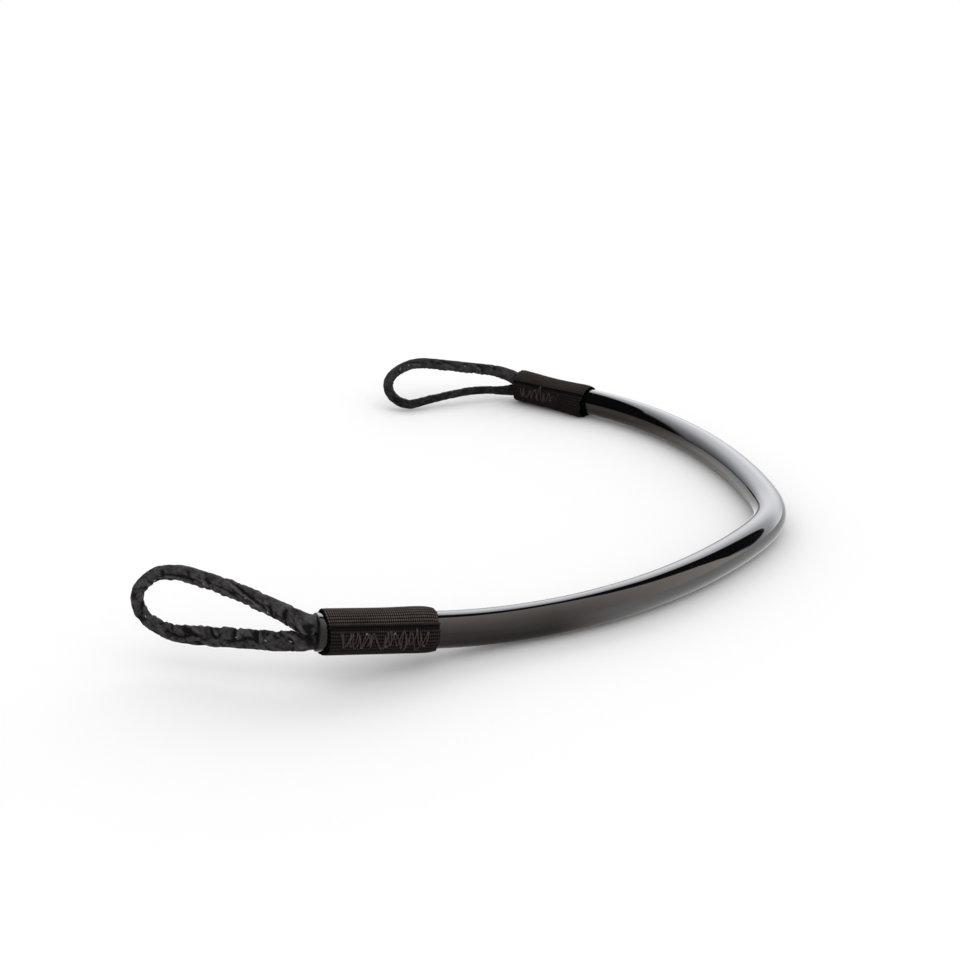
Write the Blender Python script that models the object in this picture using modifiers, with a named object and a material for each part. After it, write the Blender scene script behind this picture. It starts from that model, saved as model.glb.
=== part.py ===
"""Harness line of a kite bar.

A plastic tube, bent into a bow, is drawn over a rope. The rope comes out of each end of the tube as an
eye in a sewn fabric sheath, and a cuff of elastic webbing is wrapped and stitched round each tube end.
The bow lies on a table, with its right end sprung up off it.

Metres, +Z up. The origin is on the table under the middle of the crown, +X points out through the
crown, the right arm lies towards -Y and the left arm towards +Y. A place on the bow is a length along
the tube from the crown, negative on the right arm.
"""

import math

import bmesh
import bpy
import numpy as np
from mathutils import Matrix, Vector

GAP = 0.0003  # between pieces that touch on the real object
WELD = 0.00001

# Tube and bow
TUBE_DIAMETER = 0.012
TUBE_WALL = 0.002
TUBE_SIDES = 20
TUBE_RINGS = 56
CROWN_RADIUS = 0.043  # tightest bend, in the middle of the crown
CROWN_REACH = 0.0162  # how far the tight bend reaches along the tube
MIDDLE_RADIUS = 0.240  # flattest bend, just past the crown
ARMS = {  # right arm at -1 and left arm at 1: crown to cuff, bend next to the cuff, slope of the spring
    -1: {"length": 0.1645, "radius": 0.095, "spring": 0.40},
    1: {"length": 0.1620, "radius": 0.115, "spring": 0.0},
}
SPRING_START = 0.125  # from here on the right arm springs off the table
SPRING_WAY = (0.30, -0.85, 0.43)  # outwards and up
TUBE_PROUD = 0.002  # tube end past the cuff
RING_CROWDING = 0.4  # share of the ring spacing that closes up towards the crown

# Cuff of webbing, wrapped once with an overlap
CUFF_LENGTH = 0.036
WEBBING_THICKNESS = 0.0008
LAYER_GAP = 0.0002
WRAP_START = math.radians(-20)  # inner edge, measured up from the seam side
WRAP_RAMP = math.radians(40)  # where the webbing climbs over its own inner edge
WRAP_END = math.radians(401)  # free outer edge, one turn further on
WRAP_STEPS = 48
CUFF_FLAT = 0.0004  # how far the left cuff, which is soft, is pressed flat on the table

# Zigzag thread over the cuff's overlap
ZIGZAG_LENGTH = 0.028
ZIGZAG_STROKES = 20
ZIGZAG_LOW = math.radians(-16)
ZIGZAG_HIGH = math.radians(30)
ZIGZAG_STEPS = 4  # points in a stroke
ZIGZAG_THREAD = 0.0005
THREAD_GAP = 0.00015

# Rope inside the tube
ROPE_DIAMETER = 0.003
ROPE_SIDES = 8
ROPE_SPACING = 0.0065
MOUTH_OFFSET = 0.0022  # strand centre from the tube's axis, at the mouth
BOUND_OFFSET = 0.0016  # the same where the strands lie bound together
BIND_START = 0.006  # from the mouth inwards
TAIL_LENGTH = 0.045
CORE_CENTRED = 0.075  # past here the core lies in the middle of the bore

# Seizing that binds the tail to the core
TWINE = 0.0004
TWINE_GAP = 0.00025
SEIZING_START = 0.014  # from the mouth inwards
SEIZING_TURNS = 8
SEIZING_PITCH = 0.001
POINTS_PER_TURN = 12

# Eyes: each swings on an upright axis just outside its mouth. A route point is its reach along the
# eye, its offset towards the inside of the bow and its height, all from the middle of that axis.
PIVOT_OUT = 0.0030  # pivot axis from the mouth
ROPE_REACH = 0.0016  # bare rope between the sheath and the mouth
SHEATH_SIDES = 10
SHEATH_BORE = ROPE_DIAMETER + 2 * GAP
SHEATH_END = 0.0046  # pinched diameter at the mouth
SHEATH_SPACING = 0.004
SEAM_THREAD = 0.0005
SEAM_ANGLE = math.radians(50)  # seam, turned from the inside of the eye towards its face
SEAM_REACH = (0.16, 0.84)  # stretch of the route that the seam covers

EYES = {
    "right": {
        "side": -1,
        "yaw": math.radians(35),  # turned inwards from the tube's own line
        "diameters": (0.0060, 0.0047, 0.0058),  # lower leg, tip and upper leg of the sheath
        "route": [
            (0.0000, 0.0000, -0.0022),
            (0.0048, -0.0008, -0.0025),
            (0.0105, -0.0012, -0.0028),
            (0.0200, -0.0014, -0.0031),
            (0.0297, -0.0016, -0.0035),
            (0.0384, -0.0018, -0.0039),
            (0.0442, -0.0017, -0.0037),
            (0.0499, -0.0011, -0.0020),
            (0.0543, -0.0001, 0.0007),
            (0.0562, 0.0016, 0.0055),
            (0.0538, 0.0033, 0.0102),
            (0.0490, 0.0043, 0.0130),
            (0.0432, 0.0046, 0.0136),
            (0.0374, 0.0044, 0.0130),
            (0.0317, 0.0040, 0.0119),
            (0.0240, 0.0034, 0.0103),
            (0.0163, 0.0025, 0.0082),
            (0.0105, 0.0017, 0.0066),
            (0.0052, 0.0007, 0.0052),
            (0.0000, 0.0000, 0.0034),
        ],
    },
    "left": {
        "side": 1,
        "yaw": math.radians(46),
        "diameters": (0.0044, 0.0049, 0.0063),
        "route": [
            (0.0000, 0.0000, -0.0022),
            (0.0045, 0.0009, -0.0019),
            (0.0090, 0.0016, -0.0014),
            (0.0156, 0.0021, -0.0007),
            (0.0226, 0.0025, -0.0007),
            (0.0296, 0.0035, -0.0012),
            (0.0366, 0.0049, -0.0019),
            (0.0436, 0.0064, -0.0027),
            (0.0496, 0.0078, -0.0035),
            (0.0536, 0.0083, -0.0037),
            (0.0581, 0.0064, -0.0026),
            (0.0615, 0.0021, -0.0002),
            (0.0622, -0.0029, 0.0028),
            (0.0600, -0.0078, 0.0056),
            (0.0556, -0.0114, 0.0077),
            (0.0501, -0.0139, 0.0091),
            (0.0441, -0.0145, 0.0094),
            (0.0376, -0.0136, 0.0088),
            (0.0296, -0.0121, 0.0079),
            (0.0216, -0.0101, 0.0071),
            (0.0146, -0.0078, 0.0066),
            (0.0086, -0.0050, 0.0061),
            (0.0040, -0.0024, 0.0052),
            (0.0000, 0.0000, 0.0036),
        ],
    },
}

TUBE_RADIUS = TUBE_DIAMETER / 2
ROPE_RADIUS = ROPE_DIAMETER / 2
WRAP_RADIUS = TUBE_RADIUS + GAP + WEBBING_THICKNESS / 2
WRAP_LIFT = WEBBING_THICKNESS + LAYER_GAP
OVERLAP_RADIUS = WRAP_RADIUS + WRAP_LIFT + WEBBING_THICKNESS / 2
CROWN_HEIGHT = TUBE_RADIUS * math.cos(math.pi / TUBE_SIDES)  # the lowest facet lies on the table
CUFF_HEIGHT = WRAP_RADIUS + WEBBING_THICKNESS / 2 - CUFF_FLAT

BLACK_TUBE = (0.012, 0.012, 0.013)
WEBBING_BLACK = (0.013, 0.010, 0.009)
SHEATH_BLACK = (0.024, 0.022, 0.023)
ROPE_GREY = (0.060, 0.060, 0.058)
THREAD_BLACK = (0.020, 0.016, 0.015)


def clear_scene():
    """Remove every object that the scene holds."""
    for old in list(bpy.data.objects):
        bpy.data.objects.remove(old, do_unlink=True)


def new_collection(name):
    """Add an empty collection to the scene."""
    made = bpy.data.collections.new(name)
    bpy.context.scene.collection.children.link(made)
    return made


def paint(item, colour, roughness):
    """Give an object a material of its own, named for it."""
    material = bpy.data.materials.new(item.name)
    material.use_nodes = True
    shader = material.node_tree.nodes["Principled BSDF"]
    shader.inputs["Base Color"].default_value = (*colour, 1.0)
    shader.inputs["Roughness"].default_value = roughness
    shader.inputs["Metallic"].default_value = 0.0
    item.data.materials.append(material)


def running_sum(values, step):
    """Trapezium sum of samples a step apart, starting from zero."""
    return np.concatenate([[0.0], np.cumsum((values[1:] + values[:-1]) / 2 * step)])


def tube_end(side):
    """Length of an arm, its cuff and the tube that stands proud of the cuff."""
    return ARMS[side]["length"] + CUFF_LENGTH + TUBE_PROUD


def half_bow(side):
    """Length run and axis points along one arm, summed from its bend.

    The bend is the middle radius's, tightens with the square of the length towards the cuff, and has
    a bell-shaped peak at the crown. Inside the cuff the tube is straight. The left arm climbs evenly to
    its cuff, which is thicker than the tube. The right arm lies on the table, then springs out of the
    bow's plane: the slope of its spring grows evenly up to the cuff and stays the same past it.
    """
    arm = ARMS[side]
    length = np.linspace(0.0, tube_end(side), 4001)
    step = length[1]
    bend = 1 / MIDDLE_RADIUS + (1 / arm["radius"] - 1 / MIDDLE_RADIUS) * (length / arm["length"]) ** 2
    bend += (1 / CROWN_RADIUS - 1 / MIDDLE_RADIUS) * np.exp(-((length / CROWN_REACH) ** 2))
    bend[length > arm["length"]] = 0.0
    heading = running_sum(bend, step)
    x = -running_sum(np.sin(heading), step)
    y = side * running_sum(np.cos(heading), step)
    cuff_x = np.interp(arm["length"] + CUFF_LENGTH / 2, length, x)
    climb = (CUFF_HEIGHT - CROWN_HEIGHT) * x / cuff_x if side > 0 else np.zeros_like(x)
    slope = arm["spring"] * np.clip((length - SPRING_START) / (arm["length"] - SPRING_START), 0.0, 1.0)
    way = np.array(SPRING_WAY) / np.linalg.norm(SPRING_WAY)
    path = np.stack([x, y, CROWN_HEIGHT + climb], axis=1) + running_sum(slope, step)[:, None] * way
    run = np.concatenate([[0.0], np.cumsum(np.linalg.norm(np.diff(path, axis=0), axis=1))])
    return run, path


def bow_at(places):
    """Axis points, directions towards the left end and level outward normals at places on the bow."""
    right_run, right_path = half_bow(-1)
    left_run, left_path = half_bow(1)
    run = np.concatenate([-right_run[::-1], left_run[1:]])
    path = np.concatenate([right_path[::-1], left_path[1:]])
    course = np.gradient(path, run, axis=0)
    points, along = (
        np.stack([np.interp(places, run, values[:, axis]) for axis in range(3)], axis=1)
        for values in (path, course)
    )
    along /= np.linalg.norm(along, axis=1)[:, None]
    outward = np.stack([along[:, 1], -along[:, 0], np.zeros(len(along))], axis=1)
    outward /= np.linalg.norm(outward, axis=1)[:, None]
    return points, along, outward


def end_frame(side):
    """Mouth centre, level outgoing direction and inward normal at the end of an arm."""
    points, along, outward = bow_at(np.array([side * tube_end(side)]))
    level = side * Vector((along[0][0], along[0][1], 0.0))
    return Vector(points[0]), level.normalized(), -Vector(outward[0])


def smooth_route(points, spacing):
    """Even points on a smooth curve through a route's own points (a Catmull-Rom curve)."""
    knots = np.array(points)
    padded = np.concatenate([[2 * knots[0] - knots[1]], knots, [2 * knots[-1] - knots[-2]]])
    before, start, end, after = padded[:-3], padded[1:-2], padded[2:-1], padded[3:]
    t = np.linspace(0.0, 1.0, 24, endpoint=False)[None, :, None]
    before, start, end, after = (p[:, None, :] for p in (before, start, end, after))
    fine = start + t * (end - before) / 2
    fine = fine + t**2 * (2 * before - 5 * start + 4 * end - after) / 2
    fine = fine + t**3 * (3 * start - before - 3 * end + after) / 2
    fine = np.concatenate([fine.reshape(-1, 3), knots[-1:]])
    run = np.concatenate([[0.0], np.cumsum(np.linalg.norm(np.diff(fine, axis=0), axis=1))])
    even = np.linspace(0.0, run[-1], int(round(run[-1] / spacing)) + 1)
    return np.stack([np.interp(even, run, fine[:, axis]) for axis in range(3)], axis=1)


def round_curve(name, points, diameter, sides, home, swell=None, upright=False, tilt=0.0, caps=True):
    """A round tube along points, which may swell by a factor at each point."""
    curve = bpy.data.curves.new(name, "CURVE")
    curve.dimensions = "3D"
    curve.twist_mode = "Z_UP" if upright else "MINIMUM"
    curve.bevel_depth = diameter / 2
    curve.bevel_resolution = sides // 2 - 2
    curve.use_fill_caps = caps
    spline = curve.splines.new("POLY")
    spline.points.add(len(points) - 1)
    spline.points.foreach_set("co", np.c_[points, np.ones(len(points))].ravel())
    if swell is not None:
        spline.points.foreach_set("radius", swell)
    spline.points.foreach_set("tilt", np.full(len(points), tilt))
    item = bpy.data.objects.new(name, curve)
    home.objects.link(item)
    return item


def as_mesh(item, home):
    """Replace a curve object by its mesh, with its caps welded on, so that it can be cut."""
    bpy.context.view_layer.update()
    evaluated = item.evaluated_get(bpy.context.evaluated_depsgraph_get())
    mesh = bpy.data.meshes.new_from_object(evaluated)
    work = bmesh.new()
    work.from_mesh(mesh)
    bmesh.ops.remove_doubles(work, verts=work.verts, dist=WELD)
    work.to_mesh(mesh)
    work.free()
    name = item.name
    placed = item.matrix_world.copy()
    parent = item.parent
    bpy.data.objects.remove(item, do_unlink=True)
    solid = bpy.data.objects.new(name, mesh)
    home.objects.link(solid)
    solid.parent = parent
    solid.matrix_world = placed
    return solid


def cut(item, cutter):
    """Take a cutter's shape out of an object."""
    cutter.hide_render = True
    cutter.display_type = "WIRE"
    boolean = item.modifiers.new("cut_" + cutter.name, "BOOLEAN")
    boolean.operation = "DIFFERENCE"
    boolean.object = cutter


def soften(item, sharp_angle):
    """Shade a mesh smooth, with its sharp edges kept."""
    item.data.shade_smooth()
    item.data.set_sharp_from_angle(angle=sharp_angle)


def make_tube(parts):
    """The bowed tube: an open skin along the bow, given its wall inwards."""
    even = np.linspace(-1.0, 1.0, TUBE_RINGS)
    reach = np.where(even < 0, tube_end(-1), tube_end(1))
    places = reach * ((1 - RING_CROWDING) * even + RING_CROWDING * even**3)
    points, _, _ = bow_at(places)
    half_facet = math.pi / TUBE_SIDES
    tube = round_curve(
        "tube", points, TUBE_DIAMETER, TUBE_SIDES, parts, upright=True, tilt=half_facet, caps=False
    )
    wall = tube.modifiers.new("wall", "SOLIDIFY")
    wall.thickness = TUBE_WALL
    wall.offset = -1.0
    paint(tube, BLACK_TUBE, 0.12)


def strand(name, places, offsets, parts):
    """A rope strand inside the tube, at an upright offset from the tube's axis."""
    points, _, _ = bow_at(places)
    points[:, 2] += offsets
    rope = round_curve(name, points, ROPE_DIAMETER, ROPE_SIDES, parts, upright=True)
    paint(rope, ROPE_GREY, 0.8)


def make_core(parts):
    """The rope through the bore. It lies high at the mouths, over the tails, and central between them."""
    count = int(round((tube_end(-1) + tube_end(1)) / ROPE_SPACING)) + 1
    places = np.linspace(-tube_end(-1), tube_end(1), count)
    depth = np.minimum(places + tube_end(-1), tube_end(1) - places)
    bends = [0.0, BIND_START, TAIL_LENGTH + BIND_START, CORE_CENTRED]
    offsets = np.interp(depth, bends, [MOUTH_OFFSET, BOUND_OFFSET, BOUND_OFFSET, 0.0])
    strand("core_rope", places, offsets, parts)


def make_tail(name, side, parts):
    """The doubled-back tail of an eye, which lies under the core."""
    depth = np.linspace(0.0, TAIL_LENGTH, int(round(TAIL_LENGTH / ROPE_SPACING)) + 1)
    offsets = np.interp(depth, [0.0, BIND_START], [-MOUTH_OFFSET, -BOUND_OFFSET])
    strand(name, side * (tube_end(side) - depth), offsets, parts)


def make_seizing(name, side, parts):
    """Twine wound round core and tail: a helix whose turns follow the two strands' outline."""
    turn = 2 * math.pi / POINTS_PER_TURN
    angle = turn * (np.arange(SEIZING_TURNS * POINTS_PER_TURN) + 0.5)
    depth = SEIZING_START + SEIZING_PITCH * angle / (2 * math.pi)
    radius = ROPE_RADIUS + TWINE_GAP + TWINE / 2
    points, _, outward = bow_at(side * (tube_end(side) - depth))
    points += outward * (radius * np.sin(angle))[:, None]
    points[:, 2] += BOUND_OFFSET * np.sign(np.cos(angle)) + radius * np.cos(angle)
    twine = round_curve(name, points, TWINE, 6, parts)
    paint(twine, THREAD_BLACK, 0.7)
    apart = np.linalg.norm(points[:, None] - points[None], axis=2)
    steps = np.abs(np.subtract.outer(np.arange(len(points)), np.arange(len(points))))
    least = apart[steps > POINTS_PER_TURN // 2].min() - TWINE
    print(f"{name}: least gap to itself {least * 1000:.2f} mm")


def cuff_matrix(side):
    """Place of a cuff: X to the seam, which faces -Y on both arms, Y up and Z out of the tube's end."""
    points, along, outward = bow_at(np.array([side * (ARMS[side]["length"] + CUFF_LENGTH / 2)]))
    seam = -side * Vector(outward[0])
    out = side * Vector(along[0])
    turned = Matrix((seam, out.cross(seam), out)).transposed().to_4x4()
    return Matrix.Translation(Vector(points[0])) @ turned


def make_cuff(name, side, table, parts):
    """Webbing wrapped round the tube: a spiral ribbon that climbs over its own inner edge."""
    angle = np.linspace(WRAP_START, WRAP_END, WRAP_STEPS + 1)
    climb = np.clip((angle - (WRAP_START + 2 * math.pi - WRAP_RAMP)) / WRAP_RAMP, 0.0, 1.0)
    radius = WRAP_RADIUS + WRAP_LIFT * climb**2 * (3 - 2 * climb)
    curve = bpy.data.curves.new(name, "CURVE")
    curve.dimensions = "2D"
    curve.fill_mode = "NONE"
    curve.extrude = CUFF_LENGTH / 2
    spline = curve.splines.new("POLY")
    spline.points.add(WRAP_STEPS)
    flat = np.zeros_like(angle)
    ribbon = np.stack([radius * np.cos(angle), radius * np.sin(angle), flat, flat + 1.0], axis=1)
    spline.points.foreach_set("co", ribbon.ravel())
    cuff = bpy.data.objects.new(name, curve)
    parts.objects.link(cuff)
    cuff.matrix_world = cuff_matrix(side)
    cuff = as_mesh(cuff, parts)
    thick = cuff.modifiers.new("webbing", "SOLIDIFY")
    thick.thickness = WEBBING_THICKNESS
    thick.offset = 0.0
    cut(cuff, table)
    soften(cuff, math.radians(40))
    paint(cuff, WEBBING_BLACK, 0.85)


def make_zigzag(name, side, parts):
    """One thread that runs up and down over the overlap while it goes along the cuff."""
    step = np.arange(ZIGZAG_STROKES * ZIGZAG_STEPS + 1) / ZIGZAG_STEPS
    wave = np.abs((step % 2) - 1)
    angle = ZIGZAG_LOW + (ZIGZAG_HIGH - ZIGZAG_LOW) * wave
    along = ZIGZAG_LENGTH * (step / ZIGZAG_STROKES - 0.5)
    radius = OVERLAP_RADIUS + THREAD_GAP + ZIGZAG_THREAD / 2
    points = np.stack([radius * np.cos(angle), radius * np.sin(angle), along], axis=1)
    thread = round_curve(name, points, ZIGZAG_THREAD, 6, parts)
    thread.matrix_world = cuff_matrix(side)
    paint(thread, THREAD_BLACK, 0.6)


def make_pivot(name, eye, parts):
    """An empty on an eye's pivot axis: X along the eye, Z up the axis."""
    mouth, out, inward = end_frame(eye["side"])
    reach = math.cos(eye["yaw"]) * out + math.sin(eye["yaw"]) * inward
    up = Vector((0, 0, 1))
    pivot = bpy.data.objects.new(name, None)
    pivot.empty_display_size = TUBE_DIAMETER
    parts.objects.link(pivot)
    turned = Matrix((reach, up.cross(reach), up)).transposed().to_4x4()
    pivot.matrix_world = Matrix.Translation(mouth + PIVOT_OUT * out) @ turned
    return pivot


def eye_route(eye, extra):
    """An eye's route in its pivot's frame, run straight on past both ends by an extra length."""
    start = (-extra, 0.0, eye["route"][0][2])
    end = (-extra, 0.0, eye["route"][-1][2])
    whole = [start, *eye["route"], end] if extra else eye["route"]
    return smooth_route([(u, eye["side"] * v, w) for u, v, w in whole], SHEATH_SPACING)


def make_eye_rope(name, eye, pivot, parts):
    """The rope of an eye, from one leg at the mouth to the other."""
    rope = round_curve(name, eye_route(eye, ROPE_REACH), ROPE_DIAMETER, ROPE_SIDES, parts)
    rope.parent = pivot
    paint(rope, ROPE_GREY, 0.8)


def sheath_girth(eye, count):
    """Sheath diameter at even points: pinched at the mouth, fuller along the legs than at the tip."""
    lower, tip, upper = eye["diameters"]
    share = np.linspace(0.0, 1.0, count)
    keys = [0.0, 0.08, 0.28, 0.42, 0.58, 0.72, 0.92, 1.0]
    return np.interp(share, keys, [SHEATH_END, lower, lower, tip, tip, upper, upper, SHEATH_END])


def make_sheath(name, eye, pivot, parts, cutters):
    """The fabric sheath of an eye, bored out for its rope."""
    points = eye_route(eye, 0.0)
    girth = sheath_girth(eye, len(points))
    skin = round_curve(name, points, SHEATH_END, SHEATH_SIDES, parts, swell=girth / SHEATH_END)
    bore = round_curve(name + "_bore", eye_route(eye, ROPE_REACH), SHEATH_BORE, ROPE_SIDES, cutters)
    skin.parent = pivot
    bore.parent = pivot
    sheath = as_mesh(skin, parts)
    cut(sheath, as_mesh(bore, cutters))
    soften(sheath, math.radians(50))
    paint(sheath, SHEATH_BLACK, 0.8)


def make_seam(name, eye, pivot, parts):
    """The sheath's seam thread, which follows the inside of the eye."""
    points = eye_route(eye, 0.0)
    lift = sheath_girth(eye, len(points)) / 2 + THREAD_GAP + SEAM_THREAD / 2
    direction = np.gradient(points, axis=0)
    direction /= np.linalg.norm(direction, axis=1)[:, None]
    centre = points.mean(axis=0)
    face = np.cross(points[:-1] - centre, points[1:] - centre).sum(axis=0)
    face /= np.linalg.norm(face)
    inside = np.cross(face, direction)
    inside /= np.linalg.norm(inside, axis=1)[:, None]
    viewed = -face if (pivot.matrix_world.to_3x3() @ Vector(face)).y > 0 else face
    lean = math.cos(SEAM_ANGLE) * inside + math.sin(SEAM_ANGLE) * viewed
    share = np.linspace(0.0, 1.0, len(points))
    kept = (share >= SEAM_REACH[0]) & (share <= SEAM_REACH[1])
    thread = round_curve(name, (points + lift[:, None] * lean)[kept], SEAM_THREAD, 6, parts)
    thread.parent = pivot
    paint(thread, THREAD_BLACK, 0.6)


def make_table_cutter(cutters):
    """A block under the table top, which presses the left cuff flat."""
    bpy.ops.mesh.primitive_cube_add(size=1.0)
    table = bpy.context.active_object
    table.name = "table_top"
    depth = 2 * TUBE_DIAMETER
    width = 2 * tube_end(1)
    table.data.transform(Matrix.Diagonal((width, width, depth, 1.0)))
    table.location.z = -depth / 2
    for holder in list(table.users_collection):
        holder.objects.unlink(table)
    cutters.objects.link(table)
    return table


def main():
    """Build every piece of the harness line."""
    clear_scene()
    parts = new_collection("harness_line")
    cutters = new_collection("cutters")
    table = make_table_cutter(cutters)
    make_tube(parts)
    make_core(parts)
    for hand, eye in EYES.items():
        side = eye["side"]
        make_tail(f"{hand}_rope_tail", side, parts)
        make_seizing(f"{hand}_seizing", side, parts)
        make_cuff(f"{hand}_cuff", side, table, parts)
        make_zigzag(f"{hand}_cuff_zigzag", side, parts)
        pivot = make_pivot(f"{hand}_eye_pivot", eye, parts)
        bpy.context.view_layer.update()
        make_eye_rope(f"{hand}_eye_rope", eye, pivot, parts)
        make_sheath(f"{hand}_eye_sheath", eye, pivot, parts, cutters)
        make_seam(f"{hand}_sheath_seam", eye, pivot, parts)


main()
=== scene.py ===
"""Looks of a harness line: gloss tube, webbing cuffs, sewn eyes and the rope inside, on a pale studio floor.

Laid out as an add-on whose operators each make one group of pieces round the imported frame.
Metres, +Z up. A place on the bow is a length along the tube from the crown, negative on the right arm.
"""

import math

import bpy
import numpy as np
from bpy.props import FloatProperty, FloatVectorProperty, PointerProperty
from bpy.types import Operator, Panel, PropertyGroup
from mathutils import Matrix


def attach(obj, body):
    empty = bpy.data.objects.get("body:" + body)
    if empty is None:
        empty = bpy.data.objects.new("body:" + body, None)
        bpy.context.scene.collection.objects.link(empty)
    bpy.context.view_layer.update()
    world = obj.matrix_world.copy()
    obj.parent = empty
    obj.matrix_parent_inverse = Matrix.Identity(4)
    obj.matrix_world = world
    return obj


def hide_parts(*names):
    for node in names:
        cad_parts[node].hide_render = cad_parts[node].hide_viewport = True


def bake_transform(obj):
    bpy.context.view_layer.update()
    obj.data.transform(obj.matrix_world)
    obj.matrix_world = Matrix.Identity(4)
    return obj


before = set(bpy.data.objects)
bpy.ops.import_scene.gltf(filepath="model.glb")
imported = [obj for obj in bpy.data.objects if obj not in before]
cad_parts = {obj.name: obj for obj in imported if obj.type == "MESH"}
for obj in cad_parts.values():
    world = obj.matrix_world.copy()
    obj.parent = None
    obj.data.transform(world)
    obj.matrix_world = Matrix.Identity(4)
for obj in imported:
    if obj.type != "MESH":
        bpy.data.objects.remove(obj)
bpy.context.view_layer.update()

bl_info = {
    "name": "Harness line",
    "version": (1, 0, 0),
    "blender": (4, 5, 0),
    "location": "View3D > Sidebar > Harness line",
    "description": "Dresses the frame of a kite bar's harness line with its tube, cuffs, eyes and rope",
    "category": "Object",
}

MM = 0.001
UV_NAME = "millimetres"  # runs along a piece and round it, in millimetres
RISE_NAME = "rise"  # how far a point stands up in its own relief, from 0 to 1; the materials paint it as tone with painted shade in the hollows, on threads it marks painted glints, and on the tube the matt cut ends
UP = np.array([0.0, 0.0, 1.0])
LEVEL = np.array([1, 1, 0])  # keeps the level part of a vector
SAMPLES = 4001  # along an arm or a wrap, where its length is summed
KNOT_STEPS = 24  # points from one knot of a route to the next
SEEDS = {"cuffs": 41, "zigzags": 23, "eyes": 5, "seams": 17}

# Bow of the tube: right arm at -1 and left arm at 1
CROWN_RADIUS = 0.043
CROWN_REACH = 0.0162
MIDDLE_RADIUS = 0.240
ARMS = {  # crown to cuff, bend next to the cuff, slope of the spring off the table
    -1: {"length": 0.1645, "radius": 0.095, "spring": 0.40},
    1: {"length": 0.1620, "radius": 0.115, "spring": 0.0},
}
SPRING_START = 0.125
SPRING_WAY = (0.30, -0.85, 0.43)
TUBE_PROUD = 0.002
CUFF_LENGTH = 0.036
CROWN_HEIGHT = 0.0059261
CUFF_HEIGHT = 0.0067
TUBE_FLATTENING = CROWN_HEIGHT / 0.006  # a bent tube is a little less tall than wide

# Tube surface
TUBE_RINGS = 300
BORE_RINGS = 120
TUBE_SIDES = 72
CROWN_CROWDING = 0.3  # how much closer the rings lie at the crown
RIM_ROUNDING = 0.0004
RIM_STEPS = 5
CUT_ROUGHNESS = 0.6
RIPPLE_DEPTH = 0.000012
RIPPLE_LENGTHS = (0.031, 0.047, 0.083)

# Cuff: webbing wrapped once round the tube, over its own inner edge
WRAP_START = math.radians(-20)
WRAP_RAMP = math.radians(40)
WRAP_END = math.radians(401)
WRAP_RADIUS = 0.0067
WRAP_LIFT = 0.0010
POINTS_PER_RIB = 6
WEAVE_ROWS = 206
EDGE_STEPS = 6
EDGE_BLUNT = 0.08  # how much of a free edge's rounding is cut off, in half thicknesses
LINING_STEPS = 12
LINING_RISE = {"cuff": 0.2, "sheath": 0.3}  # how light the hidden inner faces are
RIB_DEPTH = 0.00020
RIB_ROUNDNESS = 0.6  # power of the ribs' wave
RIB_MEAN = 0.6  # the ribs rise and fall about this share of their height, and the loops about theirs
LOOP_DEPTH = 0.00016
LOOP_PITCH = 0.00070
LOOP_LEAST = 0.12  # how far a rib rises between its loops
LOOP_MEAN = 0.5
FRAY = 0.00040
FRAY_MEAN = 0.5
FRAY_WANDER = 0.6
FRAY_REACH = 0.0012
SELVEDGE = 0.0011
SELVEDGE_WIDTH = 0.25 * SELVEDGE
SELVEDGE_GROOVE = 0.00030
END_PRESS = (0.00075, 0.00025)  # how far the heat-cut ends are pressed down, inner end and outer end
END_PRESS_REACH = (0.0034, 0.0016)
END_PRESS_ROUND = 0.999  # keeps the pressed ends short of upright
SLACK = {  # where the webbing stands off the tube: place along the cuff, reach, angle in degrees, height
    "right": [(-0.0125, 0.007, 90, 0.00035)],
    "left": [(0.018, 0.012, 90, 0.0011), (-0.019, 0.015, -45, 0.0016), (-0.019, 0.010, 60, 0.0004)],
}
LONGER = {"right": (0.0, 0.0), "left": (0.0024, 0.0016)}  # how much further the inner and outer ends reach
EVEN = {"right": 0.0, "left": 0.75}  # how evenly the relief's tone lies on a cuff: its dust on the loops and its painted shade in the grooves
PULLED = (0.0010, 0.0004)  # how far the outer and inner ends are drawn back beside the seam
PULL_POWER = 6  # how close to its ends a cuff is drawn back
LOWER_SIDE_SHADE = {"right": 0.6, "left": 0.75}  # painted shade on the cuff's lower side round the zigzag: the share of the webbing's tone that is kept there
LOWER_SHADE_ANGLE = math.radians(112)
LOWER_SHADE_FADE = math.radians(45)

# Zigzag over the cuff's overlap, sewn twice
ZIGZAG_LENGTH = 0.028
ZIGZAG_STROKES = 20
ZIGZAG_LOW = math.radians(-16)
ZIGZAG_HIGH = math.radians(24)
ZIGZAG_SWAY = math.radians(4.8)
ZIGZAG_STEPS = 12
ZIGZAG_EASE = 0.06  # how much further apart the thread's points lie next to a hole
ZIGZAG_SHIFT = 0.00055
ZIGZAG_WANDER = 0.00054
ZIGZAG_BEAT = 2.3  # radians from one stroke's bow to the next one's
STITCH_SINK = 0.00055
SINK_REACH = 0.11  # how much of a stroke sinks in at a hole
GLINTS = 4  # needle holes of each pass where the thread catches the light
GLINT_REACH = 0.06  # how much of a stroke is lit there
THREAD_SIDES = 12
THREAD_LIFT = 0.55  # height of the thread's middle over the webbing, in diameters
THREAD_STEP = 0.0006  # run of the thread between its points
THREAD_CREST = 0.11  # painted highlight along the outer side of the thread: how light it is
CREST_POWER = 8  # how narrow that painted highlight is

# Rope inside the tube
MOUTH_OFFSET = 0.0022
BOUND_OFFSET = 0.0016
BIND_START = 0.006
TAIL_LENGTH = 0.045
CORE_CENTRED = 0.075
ROPE_SIDES = 32
ROPE_SPACING = 0.0007
BRAID_STRANDS = 8
BRAID_PITCH = 0.011
BRAID_DEPTH = 0.07

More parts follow.
